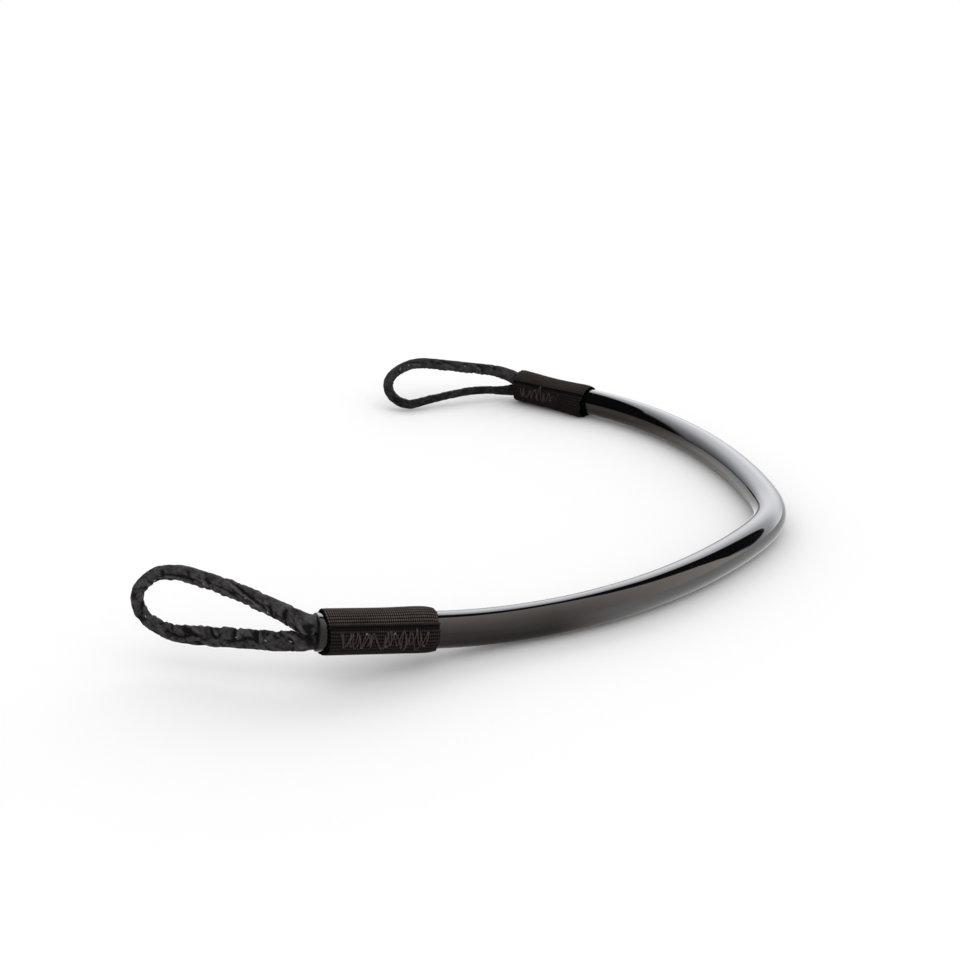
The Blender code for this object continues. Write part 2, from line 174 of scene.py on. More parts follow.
# Seizing that binds the tail to the core
SEIZING_START = 0.014
SEIZING_TURNS = 8
SEIZING_PITCH = 0.001
SEIZING_POINTS = 40
SEIZING_CORNER = 6  # how sharply the twine passes from one rope to the other
TWINE_DIAMETER = 0.0004
TWINE_GAP = 0.00025

# Eyes: route points are reach along the eye, offset towards the inside of the bow and height
PIVOT_OUT = 0.0030
INTO_MOUTH = 0.0034  # how far the sheath runs on into the bore
LEG_AT_MOUTH = (-0.0020, 0.0022)
LEG_IN_BORE = (-0.0019, 0.0020)
LEG_CONTACT = 0.015  # how far from the pivot the legs may press on each other
LEG_SAMPLES = 60
CONTACT_GAP = 0.00006
FINE_POINTS = 1201
CORD_POINTS = 121
SHEATH_ROWS = 560
SHEATH_SIDES = 80
SHEATH_GIRTH = 0.016  # round the sheath, for its weave
LINING_ROWS = 90
LINING_RADIUS = 0.00162
FLAP_WIDTH = math.radians(46)  # half the angle that the seam allowance takes up
FLAP_POWER = 1.3  # how pointed it is
CREASE_ANGLE = math.radians(60)
CREASE_WIDTH = math.radians(9)
CREASE_DEPTH = 0.00026
CREASE_KEPT = 0.5  # how much of the creases is left on average by their breaks
SCALLOP_PITCH = 0.0063
# Waves along the seam: height, waves in a scallop and phase
SCALLOPS = ((0.05, 1, math.pi / 2), (0.08, 2.37, 1), (0.09, 0.61, 2))
CREASE_WANDER = ((0.14, 0.71, 0.8), (0.18, 0.37, 2.1))
CREASE_BREAKS = ((0.8, 0.29, 0.4),)
SEAM_PITCH = 0.0031
SEAM_SHARE = 0.90  # of the stitches that would fit along an eye
SEAM_SPAN = (0.07, 0.93)  # first and last stitch, and their wander, in shares of an eye
SEAM_WANDER = 0.0045
SEAM_SIDE = 0.82  # place of the stitches between the flap's middle and its crease
SEAM_SWAY = 0.16
SEAM_SLANT = 0.10  # angle round the eye from the middle of a stitch to its end
SEAM_STITCH = 0.0010
SEAM_ARCH = (0.25, 0.9)  # height of a stitch at its middle and its fall to the ends, in diameters
SEAM_STEPS = 7
SEAM_SIDES = 6
SEAM_LIT = 0.18  # share of the seam's stitches that catch the light
SEAM_GLINT = 0.6  # how much of a stitch is lit
BACK_FOLDS = 16
# Ranges of the folds on the far side, in the order of an eye's own folds
BACK_FOLD_RANGES = ((0.04, 0.96), (150, 300), (15, 105), (3, 9), (0.5, 0.9), (0.16, 0.34))
RIDGE = (0.55, 1.7)  # height of the ridge beside a fold, and how far off, in the fold's depth and width
FOLD_LIFT = 0.0006  # height over the smooth sheath at which folds are measured
WRINKLES = 16
WRINKLE_DEPTH = 0.15  # mm
WRINKLE_WIDTH = 0.22  # as a share of its wave's height
WRINKLE_SPACING = (2.2, 9.0)  # mm along the sheath
WRINKLE_BREAK = 2.5  # how much longer the waves are that break the wrinkles
WRINKLE_TURNS = 4  # most waves round the sheath
LUMPS = 6
LUMP_HEIGHT = 0.035  # mm
LUMP_BEAT = 9.5 / 3  # each set has this many waves more along an eye
PALENESS_FADE = 0.16  # share of an eye, round its tip, over which the lower leg's paleness becomes the upper's
FOLD_SHADE_DEPTH = 0.00078  # a fold this deep gets the cloth's deep colour: painted shade in the folds
MOUTH_FADE = (0.58, 0.25)  # where the folds begin, and over how much, in shares of the way to the pivot

EYES = {
    "right": {
        "side": -1,
        "yaw": math.radians(35),
        "creased": 1.0,
        "pale_cloth": (0.63, 0.70),  # how pale the cloth of the lower and of the upper leg is
        "route": [
            (0.0000, 0.0000, -0.0022), (0.0048, -0.0008, -0.0025), (0.0105, -0.0012, -0.0028),
            (0.0200, -0.0014, -0.0031), (0.0297, -0.0016, -0.0035), (0.0384, -0.0018, -0.0039),
            (0.0442, -0.0017, -0.0037), (0.0499, -0.0011, -0.0020), (0.0543, -0.0001, 0.0007),
            (0.0562, 0.0016, 0.0055), (0.0538, 0.0033, 0.0102), (0.0490, 0.0043, 0.0130),
            (0.0432, 0.0046, 0.0136), (0.0374, 0.0044, 0.0130), (0.0317, 0.0040, 0.0119),
            (0.0240, 0.0034, 0.0103), (0.0163, 0.0025, 0.0082), (0.0105, 0.0017, 0.0066),
            (0.0052, 0.0007, 0.0052), (0.0000, 0.0000, 0.0034),
        ],
        # share of the route, width across leg and flap, flap alone (mm), angle of the flap (degrees)
        "girth": [
            (-0.05, 3.5, 0.1, 62), (-0.0245, 3.7, 0.1, 62), (-0.021, 6.0, 0.1, 62), (-0.017, 6.8, 0.2, 62),
            (0.015, 6.8, 0.6, 62), (0.08, 6.8, 1.2, 62), (0.28, 6.7, 1.5, 64), (0.40, 4.8, 0.3, 80),
            (0.48, 4.3, 0.2, 85), (0.57, 4.5, 0.2, 90), (0.66, 5.3, 1.3, 96), (0.88, 5.9, 1.7, 98),
            (0.95, 6.2, 1.2, 98), (0.985, 6.7, 0.5, 96), (1.017, 6.8, 0.2, 95), (1.021, 6.0, 0.1, 95),
            (1.0245, 3.7, 0.1, 95), (1.05, 3.5, 0.1, 95),
        ],
        # share of the route, angle (degrees), turn from the route (degrees), length, width, depth (mm)
        "folds": [
            (0.030, 14, 60, 4, 0.5, 0.34), (0.058, 52, 40, 6, 0.5, 0.30), (0.118, 40, 84, 5.4, 0.6, 0.44),
            (0.176, 38, 93, 5.6, 0.6, 0.44), (0.235, 34, 56, 4, 0.5, 0.36), (0.305, 48, 24, 10, 0.6, 0.42),
            (0.352, 84, 70, 3.6, 0.6, 0.34), (0.385, 96, 86, 3.4, 0.6, 0.30), (0.425, 92, 92, 3.2, 0.6, 0.28),
            (0.468, 88, 84, 3.6, 0.7, 0.26), (0.512, 90, 94, 3.4, 0.7, 0.26), (0.556, 70, 80, 4, 0.7, 0.26),
            (0.430, -20, 80, 4, 1.0, 0.16), (0.500, -30, 98, 4, 1.0, 0.16), (0.600, 30, 96, 4.5, 0.6, 0.26),
            (0.640, 44, 8, 12, 0.5, 0.34), (0.726, 16, 50, 3, 0.9, 0.46), (0.770, 40, 12, 9, 0.5, 0.30),
            (0.842, 6, 21, 16, 0.6, 0.50), (0.905, 30, 74, 5, 0.7, 0.36), (0.948, 10, 88, 6, 0.8, 0.34),
            (0.962, 84, 62, 4, 0.5, 0.44), (0.988, 60, 34, 5, 0.5, 0.48), (1.006, 34, 70, 5, 0.6, 0.46),
            (-0.006, 26, 74, 5, 0.5, 0.46), (0.010, 66, 36, 5, 0.5, 0.44), (0.040, 74, 14, 6, 0.5, 0.40),
        ],
    },
    "left": {
        "side": 1,
        "yaw": math.radians(46),
        "creased": 0.55,
        "pale_cloth": (0.40, 0.56),
        "route": [
            (0.0000, 0.0000, -0.0022), (0.0045, 0.0009, -0.0019), (0.0090, 0.0016, -0.0014),
            (0.0156, 0.0021, -0.0007), (0.0226, 0.0025, -0.0007), (0.0296, 0.0035, -0.0012),
            (0.0366, 0.0049, -0.0019), (0.0436, 0.0064, -0.0027), (0.0496, 0.0078, -0.0035),
            (0.0536, 0.0083, -0.0037), (0.0581, 0.0064, -0.0026), (0.0615, 0.0021, -0.0002),
            (0.0622, -0.0029, 0.0028), (0.0600, -0.0078, 0.0056), (0.0556, -0.0114, 0.0077),
            (0.0501, -0.0139, 0.0091), (0.0441, -0.0145, 0.0094), (0.0376, -0.0136, 0.0088),
            (0.0296, -0.0121, 0.0079), (0.0216, -0.0101, 0.0071), (0.0146, -0.0078, 0.0066),
            (0.0086, -0.0050, 0.0061), (0.0040, -0.0024, 0.0052), (0.0000, 0.0000, 0.0036),
        ],
        "girth": [
            (-0.05, 3.5, 0.1, 90), (-0.0215, 3.7, 0.1, 90), (-0.0185, 5.8, 0.1, 90), (-0.015, 6.6, 0.2, 90),
            (0.0, 6.2, 0.3, 90), (0.04, 5.0, 0.6, 95), (0.08, 4.4, 0.7, 95), (0.28, 4.3, 0.8, 95),
            (0.40, 4.9, 0.4, 90), (0.57, 4.9, 0.4, 90), (0.70, 6.2, 1.6, 84), (0.90, 6.3, 1.8, 84),
            (0.955, 6.6, 1.1, 86), (1.0, 6.8, 0.4, 90), (1.015, 6.6, 0.2, 90), (1.0185, 5.8, 0.1, 90),
            (1.0215, 3.7, 0.1, 90), (1.05, 3.5, 0.1, 90),
        ],
        "folds": [
            (0.060, 30, 80, 4, 0.6, 0.30), (0.150, 40, 98, 4, 0.6, 0.26), (0.235, 20, 84, 4, 0.7, 0.26),
            (0.310, 60, 70, 4, 0.7, 0.34), (0.345, 100, 86, 4, 0.7, 0.40), (0.382, 92, 92, 3.6, 0.7, 0.40),
            (0.420, 90, 86, 3.6, 0.7, 0.34), (0.470, 96, 94, 3.6, 0.7, 0.30), (0.520, 84, 84, 3.6, 0.7, 0.30),
            (0.570, 60, 96, 4, 0.7, 0.26), (0.640, 30, 12, 10, 0.6, 0.36), (0.700, 0, 74, 4, 0.8, 0.26),
            (0.760, 26, 20, 10, 0.6, 0.36), (0.815, -10, 62, 4, 0.8, 0.30), (0.870, 30, 36, 7, 0.7, 0.44),
            (0.920, 0, 82, 5, 0.8, 0.34),
        ],
    },
}

# Patterns of the finishes, in millimetres, along and across a piece where there are two
DIE_LINE = (45, 0.5)
SCUFF_PATCH = 14
SKIN_WAVE = (9, 2.2)
DUST_SPACING = 3.2
DUST_SIZE = 0.045  # in spacings
DUST_LEFT_OUT = 0.62  # share of the grains
YARN = (0.28, 0.16)
FADED_PATCH = 7
WEAVE = 0.6  # the real one is 0.3
MOTTLE = 1.1
CLOTH_FIBRE = 0.36
PLY = {"zigzag": 0.45, "seam": 0.4, "twine": 0.4}
PLY_SLANT = math.radians(35)
THREAD_FUZZ = 0.3
ROPE_HAIR = 0.25
BANDS = 1 / math.pi  # scale of a wave whose bands lie a millimetre apart

# Studio light by direction: x to the right, y away behind the object, z up
# A ramp runs between its first two values and goes from its third to its fourth
EASED = {"interpolation_type": "SMOOTHSTEP"}
WHITE = (1, 1, 1, 1)
BLACK = (0, 0, 0, 1)
SOFT_EDGE = (-0.005, 0.005, 0, 1)
BACKDROP_TOP = (-0.363, 0.695, -0.620)  # normal of the plane through the eye and the backdrop's upper edge
BACKDROP_GLOW = (0, 0.28, 0.6, 1)  # brighter below that edge
BACKDROP_LEFT = (0.14, 0.26, 0, 1)  # fading out at its left, by y
BACKDROP_FADE = (-0.97, -0.40, 0.25, 1)  # dimmer at its left, by x
BACKDROP_END = (0.62, 0.88, 1, 0.6)  # dimmer again at its right, by x
BACKDROP_FOOT = (0.3, 0.6, 0.5, 0.9)  # its level at the floor, by x
BACKDROP_RISE = (0, 0.38)  # and where it is full, by z
CANOPY_BACK = (0.17, 0.33, 0.47, 0.42)  # y of the canopy's back edge, by x
CANOPY_LEFT = (-0.12, 0.02, 0, 1)  # fading out at its left, by x
CANOPY_RIGHT = (0.84, 0.89, 0, 1)  # right of here the canopy comes down to the floor
CANOPY_SLOPE = (0.75, 1.15, 0)  # how its radiance grows with x and y
CANOPY_BASE = 0.45
CANOPY_LEAST = 0.35
MATT_SHARE = (0.5, 0.77)  # matt surfaces get this share of the studio, and this much even light
FLOOR_DROP = 0.0002
FLOOR_SIZE = 16.0
FLOOR_GRAIN = 0.004
FLOOR_WHITE = (0.35, 0.75, 0, 1)  # from shaded to plain white, by distance from the middle
GLOSS_CLEAR = (0.0035, 0.016, 0, 1)  # gloss shows the floor's shade near it, and its plain level further off
GLOSS_FRONT = (0, 1, 0.17, 0.34)  # both levels towards the front; towards the back and the right it is white
GLOSS_BACK = (0, -0.55, 0)  # white towards the back, by y
GLOSS_RIGHT = (0.8, 0.6, 0)
GLOSS_SIDE = (-0.3, -0.7, 0, 1)  # white towards the right
SENSOR_WIDTH = 36
CLIP_START = 0.01
CAMERA_PLACE = (0.02173, -0.50309, 0.21137)
CAMERA_FORWARD = (-0.24311, 0.90081, -0.35982)
CAMERA_RIGHT = (0.96629, 0.25745, -0.00830)


def linear(hex_colour):
    """Linear red, green and blue of an sRGB hex colour."""
    srgb = np.array([int(hex_colour[start:start + 2], 16) for start in (1, 3, 5)]) / 255
    return tuple(np.where(srgb <= 0.04045, srgb / 12.92, ((srgb + 0.055) / 1.055) ** 2.4).tolist())


def length_setting(name, description, default):
    """A size that the panel offers, in metres."""
    return FloatProperty(name=name, description=description, default=default, unit="LENGTH", precision=5)


def share_setting(name, description, default):
    """A value from 0 to 1 that the panel offers."""
    return FloatProperty(name=name, description=description, default=default, subtype="FACTOR", min=0, max=1)


def colour_setting(name, description, hex_colour):
    """A colour that the panel offers."""
    default = linear(hex_colour)
    return FloatVectorProperty(name=name, description=description, default=default, subtype="COLOR")


class TubeSettings(PropertyGroup):
    """Sizes and finish of the tube"""

    diameter: length_setting("Diameter", "Outside diameter of the tube", 0.012)
    wall: length_setting("Wall", "Thickness of the tube's wall", 0.002)
    roughness: share_setting("Roughness", "Roughness of the clean skin", 0.03)
    colour: colour_setting("Black", "Colour of the plastic", "#0b0b0c")
    dust: colour_setting("Dust", "Colour of dust on the skin", "#6d6862")


class CuffSettings(PropertyGroup):
    """Sizes and colours of the webbing cuffs and their zigzag"""

    thickness: length_setting("Thickness", "Thickness of the webbing", 0.0008)
    rib_spacing: length_setting("Rib spacing", "Distance between the webbing's ribs", 0.00105)
    thread_diameter: length_setting("Thread", "Diameter of the zigzag thread", 0.00045)
    # the tone between rib and groove follows the relief: dust on the loops, and painted shade in the grooves
    rib: colour_setting("Rib", "Colour on top of the ribs", "#7f7069")
    groove: colour_setting("Groove", "Colour between the ribs", "#0a0707")
    thread: colour_setting("Thread colour", "Colour of the zigzag thread", "#1d1413")
    glint: colour_setting("Thread glint", "Colour of the zigzag where it catches the light", "#d2c1b8")


class EyeSettings(PropertyGroup):
    """Folds, seam and colours of the sewn eyes"""

    seam_diameter: length_setting("Seam thread", "Diameter of the seam thread", 0.00038)
    fold_depth: FloatProperty(name="Folds", description="How deep the folds are", default=1.0, min=0, max=2)
    # pale cloth on the folds and deep cloth inside them: the deep colour is painted shade
    pale_cloth: colour_setting("Pale cloth", "Colour on top of the folds", "#585455")
    deep: colour_setting("Deep cloth", "Colour inside the folds", "#121112")
    thread: colour_setting("Seam colour", "Colour of the seam thread", "#211f1f")
    glint: colour_setting("Seam glint", "Colour of the seam where it catches the light", "#a8a29c")


class RopeSettings(PropertyGroup):
    """Sizes and colours of the rope and its seizings"""

    diameter: length_setting("Diameter", "Diameter of the rope", 0.003)
    strand: colour_setting("Strand", "Colour on top of the strands", "#a3a29c")
    # the colour between the strands is painted shade
    between: colour_setting("Between", "Colour between the strands", "#5d5c58")
    twine: colour_setting("Twine", "Colour of the seizing twine", "#2a2624")


class StageSettings(PropertyGroup):
    """Floor, light and lens of the studio"""

    floor: colour_setting("Floor", "Colour of the studio floor", "#f4f4f4")
    warm: colour_setting("Warm light", "Colour of the canopy overhead and at the right", "#fff2e8")
    cool: colour_setting("Cool light", "Colour of the backdrop behind", "#f8faff")
    backdrop: FloatProperty(name="Backdrop", description="Radiance of the backdrop", default=3.4, min=0)
    canopy: FloatProperty(name="Canopy", description="How bright the canopy is", default=1.0, min=0)
    lens: FloatProperty(name="Lens", description="Focal length", default=52.5, unit="CAMERA")


class HarnessLineSettings(PropertyGroup):
    """Every setting of the harness line"""

    tube: PointerProperty(type=TubeSettings, name="Tube", description="The bent tube")
    cuff: PointerProperty(type=CuffSettings, name="Cuffs", description="The webbing cuffs")
    eye: PointerProperty(type=EyeSettings, name="Eyes", description="The sewn eyes")
    rope: PointerProperty(type=RopeSettings, name="Rope", description="The rope inside")
    stage: PointerProperty(type=StageSettings, name="Studio", description="Floor, light and camera")


def add(tree, kind, inputs=(), out=0, **settings):
    """Add a node with its settings and give back one of its outputs, or all of them where out is None.

    The inputs are given in order or by socket. Each takes a value, or a link from another node's output.
    A mix has its values at inputs 2 and 3, its colours at 6 and 7, and its mixed colour at output 2.
    """
    node = tree.nodes.new("ShaderNode" + kind)
    for name, value in settings.items():
        setattr(node, name, value)
    pairs = inputs.items() if isinstance(inputs, dict) else enumerate(inputs)
    for socket, value in pairs:
        if isinstance(value, bpy.types.NodeSocket):
            tree.links.new(value, node.inputs[socket])
        else:
            node.inputs[socket].default_value = value
    return node.outputs if out is None else node.outputs[out]


def empty_tree(owner):
    """The cleared node tree of a material or a world."""
    owner.use_nodes = True
    owner.node_tree.nodes.clear()
    return owner.node_tree


def new_material(name):
    """An empty material and its tree, with the place in millimetres and the rise of its piece."""
    material = bpy.data.materials.new(name)
    tree = empty_tree(material)
    place = add(tree, "UVMap", uv_map=UV_NAME)
    rise = add(tree, "Attribute", out="Fac", attribute_name=RISE_NAME)
    return material, tree, place, rise


def finished(material, finish):
    """A material with the inputs of its shader given, and the shader on its output."""
    tree = material.node_tree
    add(tree, "OutputMaterial", {"Surface": add(tree, "BsdfPrincipled", finish)}, None)
    return material


def scale_of(along, across):
    """Scale of a pattern that is so many millimetres long and wide."""
    return 1 / along, 1 / across, 1


def polyurethane(look):
    """Extruded polyurethane tube. The smooth skin mirrors the studio in clean streaks.

    Die lines and scuffs run along it and dull it a little, and grains of dust catch the light. The cut
    ends and the bore are matt.
    """
    material, tree, place, cut = new_material("extruded_polyurethane")
    drawn = add(tree, "Mapping", {"Vector": place, "Scale": scale_of(*DIE_LINE)})
    lines = add(tree, "TexNoise", {"Vector": drawn, "Scale": 1, "Detail": 5, "Roughness": 0.65}, "Fac")
    patches = add(tree, "TexNoise", {"Vector": place, "Scale": 1 / SCUFF_PATCH, "Detail": 3}, "Fac")
    scuffs = add(tree, "Math", (lines, patches), operation="MULTIPLY")
    dull = {"Value": scuffs, "From Min": 0.24, "From Max": 0.42, "To Min": look.roughness, "To Max": 0.10}
    rough = add(tree, "Math", (add(tree, "MapRange", dull), cut), operation="MAXIMUM")
    grains = add(tree, "TexVoronoi", {"Vector": place, "Scale": 1 / DUST_SPACING}, None, feature="F1")
    near = add(tree, "Math", (grains["Distance"], DUST_SIZE), operation="LESS_THAN")
    chosen = add(tree, "SeparateColor", {"Color": grains["Color"]}, "Red")
    some = add(tree, "Math", (chosen, DUST_LEFT_OUT), operation="GREATER_THAN")
    speck = add(tree, "Math", (near, some), operation="MULTIPLY")
    tint = add(tree, "Mix", {0: speck, 6: (*look.colour, 1), 7: (*look.dust, 1)}, 2, data_type="RGBA")
    drawn = add(tree, "Mapping", {"Vector": place, "Scale": scale_of(*SKIN_WAVE)})
    skin = add(tree, "TexNoise", {"Vector": drawn, "Scale": 1, "Detail": 2}, "Fac")
    bump = add(tree, "Bump", {"Height": skin, "Strength": 0.10, "Distance": 0.02 * MM})
    finish = {"Base Color": tint, "Roughness": rough, "Normal": bump, "IOR": 1.52, "Specular IOR Level": 1.0}
    return finished(material, finish)


def elastic_webbing(look):
    """Woven elastic. Rubber ribs in spun yarn: rows of dusty loops between black grooves that also hold
    painted shade.

    The ribs and loops of the mesh are about a fifth coarser than the real ones, so that they show.
    """
    material, tree, place, rise = new_material("elastic_webbing")
    yarn = add(tree, "Mapping", {"Vector": place, "Scale": scale_of(*YARN)})
    fibres = add(tree, "TexNoise", {"Vector": yarn, "Scale": 1, "Detail": 4, "Roughness": 0.7}, "Fac")
    faded = add(tree, "TexNoise", {"Vector": place, "Scale": 1 / FADED_PATCH, "Detail": 3}, "Fac")
    lit = add(tree, "Math", (rise, fibres), operation="MULTIPLY")
    full = add(tree, "MapRange", {"Value": lit, "From Min": 0.14, "From Max": 0.56})
    patchy = add(tree, "MapRange", {"Value": faded, "From Min": 0.3, "From Max": 0.7, "To Min": 0.6})
    tone = add(tree, "Math", (full, patchy), operation="MULTIPLY")
    tint = add(tree, "Mix", {0: tone, 6: (*look.groove, 1), 7: (*look.rib, 1)}, 2, data_type="RGBA")
    bump = add(tree, "Bump", {"Height": fibres, "Strength": 0.8, "Distance": 0.08 * MM})
    finish = {"Base Color": tint, "Roughness": 0.85, "Normal": bump, "Specular IOR Level": 0.12}
    return finished(material, finish)


def sheath_cloth(look):
    """Plain-woven nylon, washed by salt water. Matt charcoal, paler on the folds, and darker in them with
    painted shade.

    The real threads are 0.3 mm apart and too fine to show, so the weave is drawn twice as coarse.
    """
    material, tree, place, rise = new_material("woven_nylon")
    bands = {"Vector": place, "Scale": BANDS / WEAVE}
    warp, weft = (add(tree, "TexWave", bands, "Fac", bands_direction=way) for way in "XY")
    weave = add(tree, "Math", (warp, weft), operation="ADD")
    uneven = {"Vector": place, "Scale": 1 / MOTTLE, "Detail": 4, "Roughness": 0.6}
    mottle = add(tree, "TexNoise", uneven, "Fac")
    fibres = add(tree, "TexNoise", {"Vector": place, "Scale": 1 / CLOTH_FIBRE, "Detail": 2}, "Fac")
    spread = add(tree, "Math", (mottle, fibres), operation="ADD")
    pale_cloth = add(tree, "Math", (rise, spread), operation="MULTIPLY")
    tone = add(tree, "MapRange", {"Value": pale_cloth, "From Min": 0.28, "From Max": 1.0})
    tint = add(tree, "Mix", {0: tone, 6: (*look.deep, 1), 7: (*look.pale_cloth, 1)}, 2, data_type="RGBA")
    fine = add(tree, "Bump", {"Height": weave, "Strength": 0.35, "Distance": 0.05 * MM})
    bump = add(tree, "Bump", {"Height": mottle, "Strength": 0.5, "Distance": 0.25 * MM, "Normal": fine})
    finish = {"Base Color": tint, "Roughness": 0.82, "Normal": bump, "Specular IOR Level": 0.2}
    return finished(material, finish)


def twisted_thread(name, colour, glint, ply):
    """Bonded polyester thread. Three plies twisted together, so it shows slanting bands and a satin gloss.

    Where the thread stands up out of a needle hole it catches the light.
    """
    material, tree, place, lit = new_material(name)
    turned = add(tree, "Mapping", {"Vector": place, "Rotation": (0, 0, PLY_SLANT)})
    plies = add(tree, "TexWave", {"Vector": turned, "Scale": BANDS / ply}, "Fac", bands_direction="X")
    fuzz = add(tree, "TexNoise", {"Vector": place, "Scale": 1 / THREAD_FUZZ, "Detail": 3}, "Fac")
    shade = add(tree, "MapRange", {"Value": plies, "To Min": 0.55, "To Max": 1.0})
    base = add(tree, "Mix", {0: lit, 6: (*colour, 1), 7: (*glint, 1)}, 2, data_type="RGBA")
    tint = add(tree, "Mix", {0: shade, 6: BLACK, 7: base}, 2, data_type="RGBA")
    gloss = add(tree, "MapRange", {"Value": fuzz, "To Min": 0.24, "To Max": 0.55})
    bump = add(tree, "Bump", {"Height": plies, "Strength": 0.6, "Distance": 0.06 * MM})
    finish = {"Base Color": tint, "Roughness": gloss, "Normal": bump, "Specular IOR Level": 0.35}
    return finished(material, finish)


def braided_rope(look):
    """Braided polyester rope. Flat pale strands cross over and under, with painted shade in the seams between
    them.
    """
    material, tree, place, rise = new_material("braided_polyester")
    hair = add(tree, "TexNoise", {"Vector": place, "Scale": 1 / ROPE_HAIR, "Detail": 4}, "Fac")
    lit = add(tree, "Math", (rise, hair), operation="MULTIPLY")
    tone = add(tree, "MapRange", {"Value": lit, "From Max": 0.6})
    tint = add(tree, "Mix", {0: tone, 6: (*look.between, 1), 7: (*look.strand, 1)}, 2, data_type="RGBA")
    bump = add(tree, "Bump", {"Height": hair, "Strength": 0.5, "Distance": 0.06 * MM})
    finish = {"Base Color": tint, "Roughness": 0.7, "Normal": bump}
    return finished(material, finish)


def unit(vectors):
    """Vectors brought to length 1."""
    return vectors / np.linalg.norm(vectors, axis=-1, keepdims=True)


def bell(values):
    """1 at 0 and falling off on both sides: the exponential of minus the square."""
    return np.exp(-(values**2))


def smooth_step(values):
    """0 below 0, 1 above 1, and an S-shaped climb between them."""
    held = np.clip(values, 0.0, 1.0)
    return held * held * (3 - 2 * held)


def waves(table, beat):
    """Sum of sine waves, each with its height, its number in a beat and its phase."""
    return sum(height * np.sin(2 * math.pi * number * beat + phase) for height, number, phase in table)


def turned_from(angle, middle):
    """Angle from a middle one, between half a turn back and half a turn on."""
    return (angle - middle + math.pi) % (2 * math.pi) - math.pi


def running_sum(values, step):
    """Trapezium sum of samples a step apart, starting from zero."""
    return np.concatenate([[0.0], np.cumsum((values[1:] + values[:-1]) / 2 * step)])


def run_along(path):
    """Length run at each point of a path."""
    return np.concatenate([[0.0], np.cumsum(np.linalg.norm(np.diff(path, axis=0), axis=1))])


def read_at(places, run, values):
    """Rows of values given along a run, read at places on it by straight lines between them."""
    return np.stack([np.interp(places, run, column) for column in values.T], axis=-1)


def tube_end(side):
    """Length of an arm, its cuff and the tube that stands proud of the cuff."""
    return ARMS[side]["length"] + CUFF_LENGTH + TUBE_PROUD


def half_bow(side):
    """Length run and axis points along one arm, summed from its bend.

    The bend is the middle radius's, grows with the square of the length towards the cuff, and has a
    bell-shaped peak at the crown; its sum is the heading, and the sums of the heading's sine and cosine
    are the way. The left arm climbs evenly to its thicker cuff. The right arm springs off the table: the
    slope of its spring grows evenly up to the cuff and stays the same past it.
    """
    arm = ARMS[side]
    length = np.linspace(0.0, tube_end(side), SAMPLES)
    step = length[1]
    bend = 1 / MIDDLE_RADIUS + (1 / arm["radius"] - 1 / MIDDLE_RADIUS) * (length / arm["length"]) ** 2
    bend += (1 / CROWN_RADIUS - 1 / MIDDLE_RADIUS) * bell(length / CROWN_REACH)
    bend[length > arm["length"]] = 0.0
    heading = running_sum(bend, step)
    x = -running_sum(np.sin(heading), step)
    y = side * running_sum(np.cos(heading), step)
    cuff_x = np.interp(arm["length"] + CUFF_LENGTH / 2, length, x)
    climb = (CUFF_HEIGHT - CROWN_HEIGHT) * x / cuff_x if side > 0 else np.zeros_like(x)
    slope = arm["spring"] * np.clip((length - SPRING_START) / (arm["length"] - SPRING_START), 0.0, 1.0)
    way = unit(np.array(SPRING_WAY))
    path = np.stack([x, y, CROWN_HEIGHT + climb], axis=1) + running_sum(slope, step)[:, None] * way
    return run_along(path), path


def bow_at(places):
    """Axis points, directions towards the left end and level outward normals at places on the bow."""
    right_run, right_path = half_bow(-1)
    left_run, left_path = half_bow(1)
    run = np.concatenate([-right_run[::-1], left_run[1:]])
    path = np.concatenate([right_path[::-1], left_path[1:]])
    points = read_at(places, run, path)
    along = read_at(places, run, np.gradient(path, run, axis=0))
    outward = np.stack([along[:, 1], -along[:, 0], np.zeros(len(along))], axis=1)
    return points, unit(along), unit(outward)


def smooth_route(knots, count):
    """Even points on a smooth curve through knots, and its length.

    It is a Catmull-Rom curve, spaced by its own length.
    """
    padded = np.concatenate([[2 * knots[0] - knots[1]], knots, [2 * knots[-1] - knots[-2]]])
    before, start, end, after = (padded[i:len(padded) - 3 + i, None] for i in range(4))
    t = np.linspace(0.0, 1.0, KNOT_STEPS, endpoint=False)[None, :, None]
    fine = start + t * (end - before) / 2
    fine = fine + t**2 * (2 * before - 5 * start + 4 * end - after) / 2
    fine = fine + t**3 * (3 * start - before - 3 * end + after) / 2
    fine = np.concatenate([fine.reshape(-1, 3), knots[-1:]])
    run = run_along(fine)
    return read_at(np.linspace(0.0, run[-1], count), run, fine), run[-1]


def normals_along(path, facing):
    """Two normals along a path.

    The first is a facing vector less its part along the path; the second is square to both.
    """
    along = unit(np.gradient(path, axis=-2))
    first = unit(facing - np.sum(facing * along, axis=-1, keepdims=True) * along)
    return first, np.cross(along, first)


def swept(path, facing, angles, radius):
    """Rings round a path: path + radius * (cosine * first normal + sine * second normal)."""
    first, second = normals_along(path, facing)
    turned = np.cos(angles)[:, None] * first[..., None, :] + np.sin(angles)[:, None] * second[..., None, :]
    return path[..., None, :] + np.asarray(radius)[..., None] * turned


